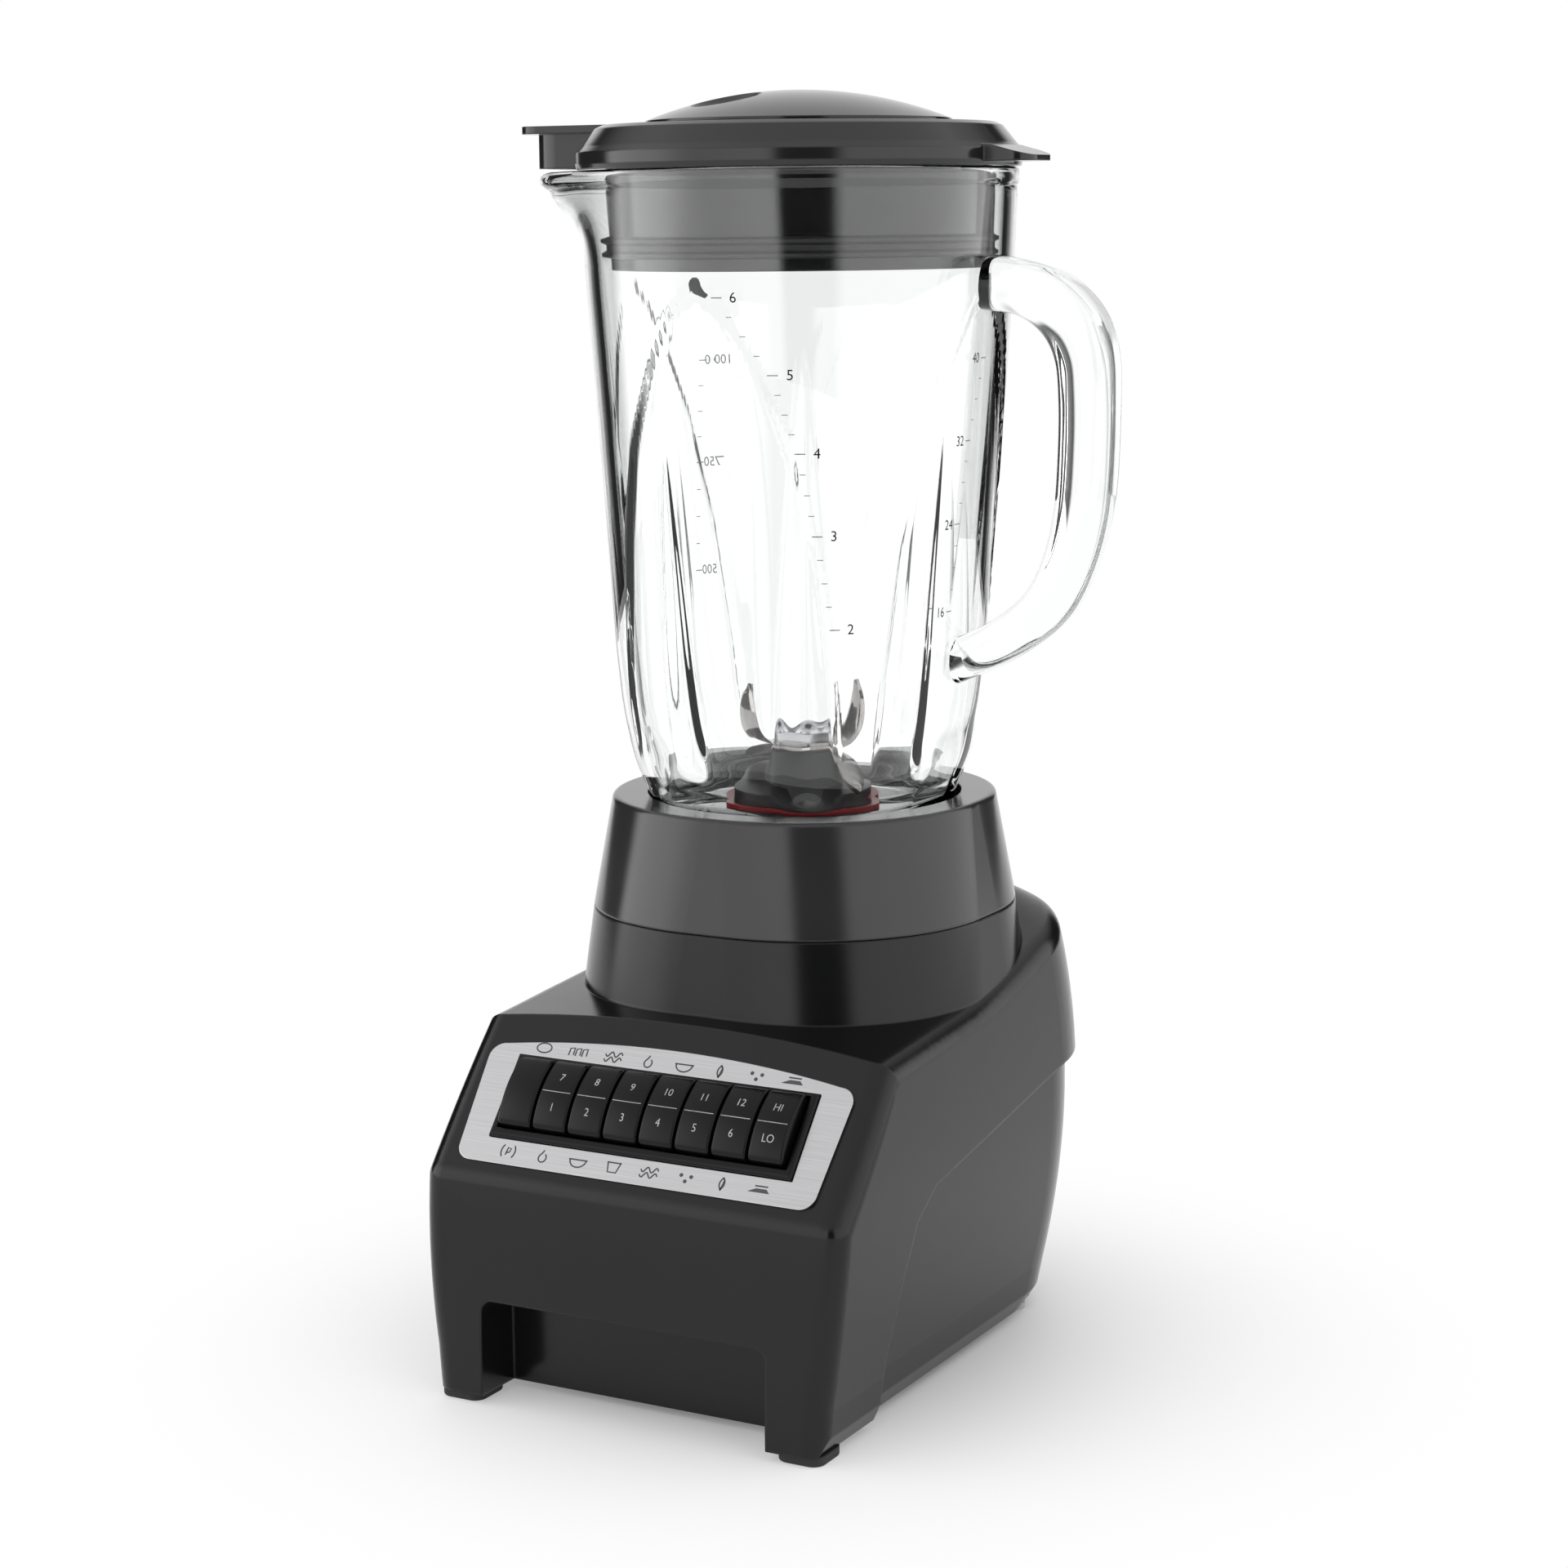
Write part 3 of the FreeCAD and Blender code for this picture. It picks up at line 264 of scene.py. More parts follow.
def plastic(name, colour, roughness, grain, edge=0.0007, depth=0.00003, specular=0.5):
    """Moulded plastic: fine mould texture, faint colour drift and handling marks in the gloss."""
    material, tree, shader = new_material(name, colour, roughness)
    shader.inputs["Specular IOR Level"].default_value = specular
    vector = object_coords(tree)
    drift = noise(tree, vector, 14.0, 3.0)
    dark = tuple(c * 0.88 for c in colour)
    light = tuple(c * 1.14 for c in colour)
    colour_ramp(tree, drift, shader.inputs["Base Color"], dark, light)
    marks = noise(tree, vector, 60.0, 6.0, 0.65)
    value_range(tree, marks, shader.inputs["Roughness"], roughness * 0.9, roughness * 1.12)
    texture = noise(tree, vector, grain, 2.0, 0.6)
    bump(tree, shader, texture, depth, 0.35, edge)
    return material


# Noise scale along each axis, by the direction in which a metal's grain runs.
GRAIN = {"x": (6, 900, 900), "y": (900, 6, 900), "z": (900, 900, 6), "round": (60, 60, 1400)}


def brushed(name, colour, roughness, direction, edge=0.0003, metallic=1.0, fine=1.0, streak=0.82):
    """Metal with a fine linear grain along one direction; streak is how dark its lines go."""
    material, tree, shader = new_material(name, colour, roughness, metallic)
    scale = GRAIN[direction]
    vector = object_coords(tree, scale)
    lines = noise(tree, vector, 1.6 * fine, 5.0, 0.6)
    dark = tuple(c * streak for c in colour)
    colour_ramp(tree, lines, shader.inputs["Base Color"], dark, colour)
    value_range(tree, lines, shader.inputs["Roughness"], roughness * 0.8, roughness * 1.25)
    bump(tree, shader, lines, 0.00003, 0.25, edge)
    return material


def clear_glass():
    """Pressed glass: clear, with the faint waviness left by the mould."""
    material, tree, shader = new_material("pressed_glass", (0.985, 0.995, 0.992), 0.0)
    shader.inputs["Transmission Weight"].default_value = 1.0
    shader.inputs["IOR"].default_value = 1.5
    vector = object_coords(tree)
    waves = noise(tree, vector, 22.0, 2.0, 0.4)
    bump(tree, shader, waves, 0.0003, 0.12)
    value_range(tree, noise(tree, vector, 90.0, 3.0), shader.inputs["Roughness"], 0.0, 0.012)
    return material


def rubber(name, colour, roughness):
    material, tree, shader = new_material(name, colour, roughness)
    vector = object_coords(tree)
    light = tuple(min(1, c * 1.3) for c in colour)
    colour_ramp(tree, noise(tree, vector, 45.0), shader.inputs["Base Color"], colour, light)
    bump(tree, shader, noise(tree, vector, 1800.0, 2.0), 0.00005, 0.3, 0.0004)
    return material


def banded(name, colour, roughness, metallic, bands, distortion, dark, light, depth, strength):
    """Metal in fine level layers, such as rows of wire or stacked sheets."""
    material, tree, shader = new_material(name, colour, roughness, metallic)
    vector = object_coords(tree)
    wave = node(tree, "ShaderNodeTexWave", Scale=bands, Distortion=distortion)
    wave.bands_direction = "Z"
    tree.links.new(vector, wave.inputs["Vector"])
    colour_ramp(tree, wave.outputs["Fac"], shader.inputs["Base Color"], dark, light, 0.2, 0.8)
    bump(tree, shader, wave.outputs["Fac"], depth, strength)
    return material


def make_materials():
    return {
        "housing_black": plastic("housing_plastic", (0.0042, 0.0044, 0.0047), 0.18, 2600, 0.0012, 0.00001, 0.34),
        "collar_grey": plastic("collar_plastic", (0.022, 0.022, 0.0223), 0.15, 2000, 0.0009, 0.00001),
        "lid_black": plastic("lid_plastic", (0.011, 0.011, 0.0112), 0.13, 2000, 0.0008, 0.00001),
        "key_black": plastic("key_plastic", (0.002, 0.002, 0.0022), 0.26, 3000, 0.0005, 0.00002, 0.22),
        "inner_black": plastic("inner_plastic", (0.02, 0.02, 0.021), 0.45, 1800, 0.0005),
        "carbon": plastic("pressed_carbon", (0.03, 0.03, 0.03), 0.6, 1600, 0.0003),
        "clear_glass": clear_glass(),
        "plate_silver": brushed("plate_metal", (0.58, 0.58, 0.59), 0.20, "x", fine=3.0, streak=0.90),
        "blade_steel": brushed("blade_metal", (0.36, 0.345, 0.335), 0.10, "z"),
        "shaft_steel": brushed("shaft_metal", (0.62, 0.62, 0.64), 0.20, "round"),
        "screw_steel": brushed("screw_metal", (0.50, 0.50, 0.52), 0.32, "round"),
        "bronze_bush": brushed("bush_metal", (0.56, 0.38, 0.18), 0.35, "round"),
        "copper_bars": brushed("bar_metal", (0.76, 0.40, 0.24), 0.28, "z"),
        "contact_brass": brushed("contact_metal", (0.78, 0.58, 0.26), 0.3, "y"),
        "bracket_metal": brushed("cast_metal", (0.55, 0.56, 0.57), 0.48, "x", fine=0.2),
        "core_steel": banded("laminations", (0.16, 0.16, 0.17), 0.45, 0.7, 620.0, 0.0,
                             (0.07, 0.07, 0.08), (0.24, 0.24, 0.25), 0.0002, 0.5),
        "winding_copper": banded("wound_copper", (0.6, 0.24, 0.1), 0.35, 0.9, 320.0, 0.4,
                                 (0.28, 0.09, 0.03), (0.75, 0.33, 0.14), 0.0004, 0.6),
        "black_rubber": rubber("black_rubber", (0.012, 0.012, 0.012), 0.7),
        "red_silicone": rubber("red_silicone", (0.26, 0.008, 0.014), 0.4),
        "seal_rubber": rubber("seal_rubber", (0.03, 0.03, 0.032), 0.5),
        "print_grey": rubber("print_grey", (0.42, 0.42, 0.43), 0.6),
        "print_dark": rubber("print_dark", (0.05, 0.05, 0.055), 0.6),
        "print_mark": rubber("print_mark", (0.16, 0.16, 0.17), 0.6),
    }


# ---------------------------------------------------------------- mesh helpers
def new_object(name, mesh, material, body, replaced=()):
    """Adds a finished mesh that rides on a body and stands for CAD nodes."""
    piece = bpy.data.objects.new(name, mesh)
    bpy.context.scene.collection.objects.link(piece)
    mesh.materials.clear()
    mesh.materials.append(material)
    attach(piece, body)
    if replaced:
        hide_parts(*replaced)
    return piece


def smooth(mesh, angle=32):
    for polygon in mesh.polygons:
        polygon.use_smooth = True
    mesh.set_sharp_from_angle(angle=math.radians(angle))


def mesh_from(name, points, faces):
    mesh = bpy.data.meshes.new(name)
    mesh.from_pydata([tuple(p) for p in points], [], faces)
    mesh.update()
    return mesh


def append(points, faces, more_points, more_faces):
    """Adds one mesh's points and faces to lists that already hold others."""
    base = len(points)
    points += more_points
    faces += [tuple(base + i for i in face) for face in more_faces]


def skin(mesh):
    """A mesh's points and faces, as lists."""
    return [v.co.copy() for v in mesh.vertices], [tuple(p.vertices) for p in mesh.polygons]


def fix_normals(mesh):
    bm = bmesh.new()
    bm.from_mesh(mesh)
    bmesh.ops.recalc_face_normals(bm, faces=bm.faces)
    bm.to_mesh(mesh)
    bm.free()


def ring_grid(name, rows, closed_rows=True):
    """Mesh from rows of points, each row a closed ring; rows close on each other when asked."""
    rows = np.asarray(rows)
    count, around = rows.shape[:2]
    points = rows.reshape(-1, 3)
    faces = []
    for i in range(count if closed_rows else count - 1):
        a = i * around
        b = ((i + 1) % count) * around
        for j in range(around):
            k = (j + 1) % around
            faces.append((a + j, a + k, b + k, b + j))
    return mesh_from(name, points, faces)


def boolean(mesh, other, operation):
    """Applies an exact boolean between two meshes and returns the new mesh."""
    first = bpy.data.objects.new("boolean_a", mesh)
    second = bpy.data.objects.new("boolean_b", other)
    for item in (first, second):
        bpy.context.scene.collection.objects.link(item)
    modifier = first.modifiers.new("cut", "BOOLEAN")
    modifier.operation = operation
    modifier.object = second
    modifier.solver = "EXACT"
    bpy.context.view_layer.update()
    result = bpy.data.meshes.new_from_object(first.evaluated_get(bpy.context.evaluated_depsgraph_get()))
    for item in (first, second):
        bpy.data.objects.remove(item)
    return result


# ---------------------------------------------------------------- glass jar
# Outside of the jar from the foot up: height, half width, corner radius, as in the frame.
JAR_SECTIONS = np.array(((167.0, 42.4, 32.0), (172.0, 43.2, 32.0), (179.0, 46.0, 34.0), (187.0, 49.6, 38.0),
                         (203.0, 53.6, 44.0), (222.0, 56.0, 48.0), (250.0, 58.2, 52.0), (295.0, 61.6, 57.0),
                         (335.0, 65.0, 62.0), (368.5, 67.2, 66.6)))
RIM_Z = 368.5
# Rolled rim: height, swell; the swell is strongest along the spout.
RIM_ROLL = ((362.6, -0.6), (363.6, 0.2), (364.6, 0.9), (366.0, 1.1), (367.2, 0.8), (368.1, 0.1))
BOWL_TOP = 178.4                       # where the inner wall turns into the jar's floor
FOOT_Z = 167.0
FLOOR_Z = 172.5
# From the floor through the hole for the blade base and out to the foot: radius, height.
FOOT_PROFILE = ((28.0, FLOOR_Z), (22.0, FLOOR_Z), (16.6, FLOOR_Z), (16.1, FLOOR_Z - 0.5), (16.1, 169.0),
                (16.6, 168.5), (30.0, 168.5), (35.6, 168.4), (36.4, 167.5), (37.4, FOOT_Z))
GLASS = 4.0
AROUND = 640
THETA = np.arange(AROUND) * 2 * np.pi / AROUND
# Half angle of the arched panel on each side: height, degrees.
ARCH = np.array(((188.0, 39.5), (216.0, 37.5), (258.0, 32.0), (285.0, 26.0), (312.0, 15.7),
                 (326.0, 8.0), (334.0, 0.0)))
PANEL_LOW, PANEL_HIGH = 186.0, 334.0
PANEL_STEP = 1.1                       # how far a panel is pressed in
PANEL_EDGE = 1.4                       # width of the step round it
GROOVE_SHARE, GROOVE_WIDTH = 0.6, 0.55
# Inside ribs: lowest and highest z, height of the run-in at the foot, fade length at the top,
# depth, half angle in degrees, and the length over which that angle narrows to nothing.
RIB_TURN = math.radians(-60.5)
RIB_POWER = 1.5
CORNER_RIB = (174.0, 322.0, 10.0, 90.0, 2.4, 11.0, 120.0)
SPEAR_RIB = (182.0, 300.0, 16.0, 80.0, 2.2, 7.0, 100.0)


def side_angle(turn):
    """Angle from the nearest of four directions, the first one turned from +X."""
    quarter = np.pi / 2
    return (THETA - turn + quarter / 2) % quarter - quarter / 2


def section(z):
    """Half width and corner radius at height z, smoothed between the stations."""
    taps = z + np.linspace(-5, 5, 5)
    half = np.interp(taps, JAR_SECTIONS[:, 0], JAR_SECTIONS[:, 1]).mean()
    corner = np.interp(taps, JAR_SECTIONS[:, 0], JAR_SECTIONS[:, 2]).mean()
    return half, corner


def square_radius(half, corner):
    """Distance from the axis to a rounded square, for every angle."""
    a = np.abs(side_angle(0))
    centre = half - corner
    along = centre * (np.cos(a) + np.sin(a))
    arc = along + np.sqrt(np.maximum(along ** 2 - 2 * centre ** 2 + corner ** 2, 0))
    flat = half / np.cos(a)
    return np.where(half * np.tan(a) <= centre, flat, arc)


def ease(x):
    x = np.clip(x, 0, 1)
    return x * x * (3 - 2 * x)


SPOUT_REACH = 24.2
SPOUT_FLARE = 62.0                     # degrees over which the rim swings out to the tip
SPOUT_BLUNT = 5.0                      # degrees over which the tip is rounded
SPOUT_POWER = 3.6
SPOUT_FOOT, SPOUT_RISE = 339.0, 26.5


def spout(z):
    """How far the wall is drawn out to the spout at height z, for every angle."""
    rise = float(ease((z - SPOUT_FOOT) / SPOUT_RISE))
    away = np.degrees(np.abs(THETA - np.pi))
    blunt = np.sqrt(away ** 2 + SPOUT_BLUNT ** 2) - SPOUT_BLUNT
    shape = (1 - np.clip(blunt / SPOUT_FLARE, 0, 1)) ** SPOUT_POWER
    return rise * shape * SPOUT_REACH


def outer_radius(z):
    """Outside of the wall at height z, with its pressed panels, for every angle."""
    half, corner = section(z)
    radius = square_radius(half, corner)
    limit = np.radians(np.interp(z, ARCH[:, 0], ARCH[:, 1]))
    if PANEL_LOW < z < PANEL_HIGH:
        inside = (limit - np.abs(side_angle(0))) * radius
        depth = PANEL_STEP * float(ease((z - PANEL_LOW) / 14.0))
        groove = GROOVE_SHARE * depth * np.exp(-(inside / GROOVE_WIDTH) ** 2)
        radius = radius - depth * ease(inside / PANEL_EDGE) - groove
    return radius + spout(z)


def rib(z, turn, shape):
    """How far one set of four inside ribs stands out at height z, for every angle."""
    low, high, run_in, fade, depth, spread, narrow = shape
    if not low < z < high:
        return 0.0
    swell = float(ease((z - low) / run_in))
    share = side_angle(turn) / np.radians(spread * (high - z) / narrow)
    profile = np.cos(np.clip(share, -1, 1) * np.pi / 2) ** RIB_POWER
    return swell * depth * float(ease((high - z) / fade)) * profile


def inner_radius(z):
    """Inside of the wall at height z, with its ribs, for every angle."""
    half, corner = section(z)
    radius = square_radius(half - GLASS, corner - GLASS)
    radius = radius - rib(z, RIB_TURN, CORNER_RIB)
    radius = radius - rib(z, RIB_TURN + np.pi / 4, SPEAR_RIB)
    return radius + spout(z)


def ring(radius, z):
    return np.stack([AXIS_X + radius * np.cos(THETA) * MM, AXIS_Y + radius * np.sin(THETA) * MM,
                     np.full(AROUND, z * MM)], 1)


def jar_body():
    """Wall, arched panels, ribs, spout and foot as one closed skin."""
    rows = [ring(outer_radius(FOOT_Z) - 1.2, FOOT_Z), ring(outer_radius(FOOT_Z) - 0.3, FOOT_Z + 0.4)]
    levels = np.concatenate([np.arange(168.2, 200, 1.6), np.arange(200, 340, 3.0),
                             np.arange(340, 362, 2.0)])
    rows += [ring(outer_radius(z), z) for z in levels]
    for z, swell in RIM_ROLL:
        rows.append(ring(outer_radius(z) + swell * (0.35 + 1.3 * spout(z) / SPOUT_REACH), z))
    rim = outer_radius(RIM_Z)
    rows.append(ring(rim - 1.0, RIM_Z))
    rows.append(ring(inner_radius(RIM_Z) + 1.0, RIM_Z))
    rows.append(ring(inner_radius(RIM_Z) + 0.2, RIM_Z - 0.6))
    inner_levels = np.concatenate([np.arange(366.5, 340, -2.0), np.arange(340, 200, -3.0),
                                   np.arange(200, 178, -1.6)])
    rows += [ring(inner_radius(z), z) for z in inner_levels]
    low = inner_radius(BOWL_TOP)
    bowl = square_radius(38.5, 27.0)
    for k in (0.25, 0.5, 0.75, 0.92, 1.0):
        drop = math.sin(k * math.pi / 2)
        blend = 1 - math.cos(k * math.pi / 2)
        rows.append(ring(low * (1 - blend) + bowl * blend, BOWL_TOP - (BOWL_TOP - FLOOR_Z) * drop))
    flat = np.ones(AROUND)
    rows.append(ring(0.5 * bowl + 17.0 * flat, FLOOR_Z))
    rows += [ring(r * flat, z) for r, z in FOOT_PROFILE]
    return ring_grid("jar_body", rows)


# Both curves of the handle: distance from the jar's axis, height.
HANDLE_OUTER = ((63.0, 342.8), (73.0, 341.4), (90.0, 336.6), (100.5, 327.0), (105.0, 315.0), (105.8, 300.0),
                (104.4, 271.0), (99.6, 251.0), (90.6, 234.0), (74.0, 221.0), (54.9, 212.2))
HANDLE_INNER = ((63.0, 325.9), (76.0, 324.2), (84.2, 318.8), (88.4, 311.0), (89.5, 300.0), (89.4, 284.0),
                (88.0, 266.0), (84.0, 251.0), (77.5, 240.4), (66.5, 232.2), (54.9, 226.8))
HANDLE_HALF = 9.5
HANDLE_STEPS = 72
HANDLE_AROUND = 32
ROOT_STEPS = 9.0                       # steps over which each root swells into the wall


def curve_points(knots, count):
    """Points along a smooth (Catmull-Rom) curve through the knots."""
    knots = np.array(knots, float)
    padded = np.vstack([2 * knots[0] - knots[1], knots, 2 * knots[-1] - knots[-2]])
    steps = np.linspace(0, len(knots) - 1 - 1e-9, count)
    result = []
    for s in steps:
        i = int(s)
        t = s - i
        p0, p1, p2, p3 = padded[i:i + 4]
        result.append(0.5 * (2 * p1 + (p2 - p0) * t + (2 * p0 - 5 * p1 + 4 * p2 - p3) * t ** 2
                             + (3 * p1 - p0 - 3 * p2 + p3) * t ** 3))
    return np.array(result)


def handle_body():
    """Strap handle: flat sides, softly bevelled edges, both roots sunk into the wall."""
    count, around = HANDLE_STEPS, HANDLE_AROUND
    outer = curve_points(HANDLE_OUTER, count)
    inner = curve_points(HANDLE_INNER, count)
    rows = []
    for step, (o, i) in enumerate(zip(outer, inner)):
        root = float(ease(1 - min(step, count - 1 - step) / ROOT_STEPS))
        thick = np.linalg.norm(o - i)
        across = (o - i) / thick
        row = []
        for k in range(around):
            angle = 2 * math.pi * (k + 0.5) / around
            c, s = math.cos(angle), math.sin(angle)
            power = 0.58 + 0.34 * root
            u = math.copysign(abs(c) ** power, c)
            w = math.copysign(abs(s) ** power, s)
            middle = (o + i) / 2 + across * thick / 2 * u
            row.append(tuple(at(middle[0], HANDLE_HALF * (1 - 0.18 * root) * w, middle[1])))
        rows.append(row)
    points, faces = skin(ring_grid("handle", rows, closed_rows=False))
    faces.append(tuple(reversed(range(around))))
    faces.append(tuple(range(around * (count - 1), around * count)))
    mesh = mesh_from("handle_closed", points, faces)
    fix_normals(mesh)
    return mesh


def make_jar():
    body = jar_body()
    fix_normals(body)
    glass = boolean(body, handle_body(), "UNION")
    smooth(glass, 50)
    new_object("glass_jar", glass, MATERIALS["clear_glass"], "jar_group", ("jar",))


# ---------------------------------------------------------------- blades
BLADE_T = 1.5
# Section of an arm: share of the width from the trailing edge, share of the thickness.
BLADE_SECTION = ((0, -0.45), (0.03, -0.5), (0.72, -0.5), (1, -0.08), (1, 0.0), (0.72, 0.5), (0.03, 0.5),
                 (0, 0.45))
HUB_R, HUB_HOLE_R = 8.4, 4.05
# Direction in degrees and height of each blade's hub, as in the frame.
UPPER_AZIMUTH, UPPER_HUB_Z = 52, 188.5
LOWER_AZIMUTH, LOWER_HUB_Z = -15, 187.0
# Arm of a blade: radius, height of the middle, trailing edge, leading edge.
UPPER_ARM = ((4.5, 189.2, -6.2, 6.2), (9.0, 189.3, -6.6, 6.4), (13.4, 190.8, -6.8, 6.2), (16.6, 194.6, -6.6, 5.4),
             (18.0, 199.5, -6.0, 4.6), (17.9, 204.6, -5.2, 2.0), (17.0, 209.6, -3.4, -2.6))
LOWER_ARM = ((4.5, 187.8, -6.2, 6.2), (10.0, 187.7, -6.7, 6.6), (15.6, 185.9, -6.9, 6.3), (20.4, 182.9, -6.4, 4.8),
             (24.2, 180.0, -5.2, 1.6), (26.6, 177.9, -3.6, -2.8))


def blade_points(knots, turn):
    """Rings of one sickle arm, ground thin along its leading edge."""
    path = curve_points(knots, 30)
    rows = []
    for i, (r, z, back, front) in enumerate(path):
        ahead = path[min(i + 1, len(path) - 1)] - path[max(i - 1, 0)]
        length = math.hypot(ahead[0], ahead[1])
        nr, nz = -ahead[1] / length, ahead[0] / length
        width = front - back
        row = []
        for across, lift in BLADE_SECTION:
            y = back + width * across
            row.append((r + nr * BLADE_T * lift, y, z + nz * BLADE_T * lift))
        rows.append([tuple(at(x * math.cos(turn) - y * math.sin(turn), x * math.sin(turn) + y * math.cos(turn), h))
                     for x, y, h in row])
    return rows


def make_blade(name, node_name, knots, azimuth, hub_z):
    """Two arms and the hub plate between them."""
    points, faces = [], []
    for turn in (azimuth, azimuth + 180):
        rows = blade_points(knots, math.radians(turn))
        base = len(points)
        around = len(rows[0])
        append(points, faces, *skin(ring_grid("arm", rows, closed_rows=False)))
        faces.append(tuple(base + i for i in range(around)))
        faces.append(tuple(base + i for i in reversed(range(around * (len(rows) - 1), around * len(rows)))))
    hub = []
    top_z = hub_z + BLADE_T
    for r, z in ((HUB_R, hub_z), (HUB_R, top_z), (HUB_HOLE_R, top_z), (HUB_HOLE_R, hub_z)):
        hub.append([tuple(at(r * math.cos(a), r * math.sin(a), z)) for a in np.arange(64) * 2 * math.pi / 64])
    append(points, faces, *skin(ring_grid("hub", hub)))
    mesh = mesh_from(name, points, faces)
    fix_normals(mesh)
    smooth(mesh, 30)
    new_object(name, mesh, MATERIALS["blade_steel"], "blade_group", (node_name,))


# ---------------------------------------------------------------- control panel
PANEL_TOP = (-84.05, 105.0)
PANEL_SLOPE = math.radians(49.46)
PLATE_T = 0.8
KEY_COUNT = 8
KEY_PITCH = 12.35
KEY_MID_V = 17.3
KEY_PROUD = 6.9
KEY_W = 11.6
KEY_LENGTH = 22.6
KEY_CROWN = 2.3
KEY_STEPS = 28
KEY_EDGE_R = 0.9
KEY_SKIRT = -4.0                       # lower edge of a key's walls


def on_panel(x, v, w):
    """Point on the sloping panel: x across, v down the slope, w out of the plate."""
    y = PANEL_TOP[0] - v * math.cos(PANEL_SLOPE) - w * math.sin(PANEL_SLOPE)
    z = PANEL_TOP[1] - v * math.sin(PANEL_SLOPE) + w * math.cos(PANEL_SLOPE)
    return at(x, y, z)


def key_x(index):
    """Middle of a key, counted from 0 at the left."""
    return KEY_PITCH * (index - (KEY_COUNT - 1) / 2)


def key_top(v):
    """Height of a key's crowned top above the plate's plane."""
    return KEY_PROUD - KEY_CROWN * ((v - KEY_MID_V) / (KEY_LENGTH / 2)) ** 2


STEM_ENDS = (-9.0, -3.9)
STEM_CORNERS = ((-3, -5), (3, -5), (3, 5), (-3, 5))
BOX_FACES = ((0, 1, 2, 3), (7, 6, 5, 4), (0, 4, 5, 1), (1, 5, 6, 2), (2, 6, 7, 3), (3, 7, 4, 0))


def key_mesh(index):
    """Push key with a crowned top and soft edges, and its stem."""
    x = key_x(index)
    half = KEY_W / 2
    steps, r, foot = KEY_STEPS, KEY_EDGE_R, KEY_SKIRT
    rows = []
    for i in range(steps + 1):
        v = KEY_MID_V - KEY_LENGTH / 2 * math.cos(math.pi * i / steps)
        shrink = 0.9 * (abs(v - KEY_MID_V) / (KEY_LENGTH / 2)) ** 24
        top = key_top(v) - shrink
        side = half - 0.5 * shrink
        row = [(x - side, foot), (x - side, top * 0.4), (x - side, top - r)]
        row += [(x - side + r - r * math.cos(a), top - r + r * math.sin(a)) for a in (0.4, 0.8, 1.2)]
        row += [(x - side + r, top), (x, top), (x + side - r, top)]
        row += [(x + side - r + r * math.cos(a), top - r + r * math.sin(a)) for a in (1.2, 0.8, 0.4)]
        row += [(x + side, top - r), (x + side, top * 0.4), (x + side, foot), (x, foot)]
        rows.append([tuple(on_panel(px, v, w)) for px, w in row])
    around = len(rows[0])
    points, faces = skin(ring_grid("key_skin", rows, closed_rows=False))
    faces.append(tuple(range(around)))
    faces.append(tuple(reversed(range(around * steps, around * (steps + 1)))))
    stem = [on_panel(x + a, KEY_MID_V + b, w) for w in STEM_ENDS for a, b in STEM_CORNERS]
    append(points, faces, stem, BOX_FACES)
    mesh = mesh_from("key", points, faces)
    fix_normals(mesh)
    smooth(mesh, 40)
    return mesh


def make_keys():
    for index in range(KEY_COUNT):
        number = index + 1
        new_object("push_key_%d" % number, key_mesh(index), MATERIALS["key_black"], "key_%d_body" % number,
                   ("key_%d" % number,))


def slab(outline, w, thick=0.06):
    """Thin raised print: an outline of (x, v) points as a closed slab on the panel."""
    count = len(outline)
    points = [on_panel(x, v, w) for x, v in outline] + [on_panel(x, v, w + thick) for x, v in outline]
    faces = [tuple(range(count)), tuple(reversed(range(count, 2 * count)))]
    for i in range(count):
        j = (i + 1) % count
        faces.append((i, i + count, j + count, j))
    return points, faces


def stroke(points, width):
    """Outline of a line of constant width through (x, v) points."""
    points = [Vector(p) for p in points]
    left, right = [], []
    for i, p in enumerate(points):
        ahead = points[min(i + 1, len(points) - 1)] - points[max(i - 1, 0)]
        side = Vector((-ahead.y, ahead.x)).normalized() * width / 2
        left.append(p + side)
        right.append(p - side)
    return [tuple(p) for p in left + right[::-1]]


def arc_points(x, v, rx, rv, start, end, count=20):
    steps = [math.radians(start + (end - start) * i / count) for i in range(count + 1)]
    return [(x + rx * math.cos(a), v + rv * math.sin(a)) for a in steps]


def printed(name, outlines, w, material, body):
    """One piece of print made of several slabs."""
    points, faces = [], []
    for outline in outlines:
        append(points, faces, *slab(outline, w))
    mesh = mesh_from(name, points, faces)
    fix_normals(mesh)
    return new_object(name, mesh, material, body)


def text_mesh(text, size):
    """Flat letters, centred, as a mesh in the XY plane, in millimetres."""
    curve = bpy.data.curves.new("letters", "FONT")
    curve.body = text
    curve.size = size
    curve.align_x = "CENTER"
    curve.align_y = "CENTER"
    curve.extrude = 0.03
    curve.resolution_u = 3
    holder = bpy.data.objects.new("letters", curve)
    bpy.context.scene.collection.objects.link(holder)
    bpy.context.view_layer.update()
    mesh = bpy.data.meshes.new_from_object(holder.evaluated_get(bpy.context.evaluated_depsgraph_get()))
    bpy.data.objects.remove(holder)
    return mesh


UPPER_LEGENDS = ("7", "8", "9", "10", "11", "12", "HI")
LOWER_LEGENDS = ("1", "2", "3", "4", "5", "6", "LO")
LEGEND_SIZE = 3.5


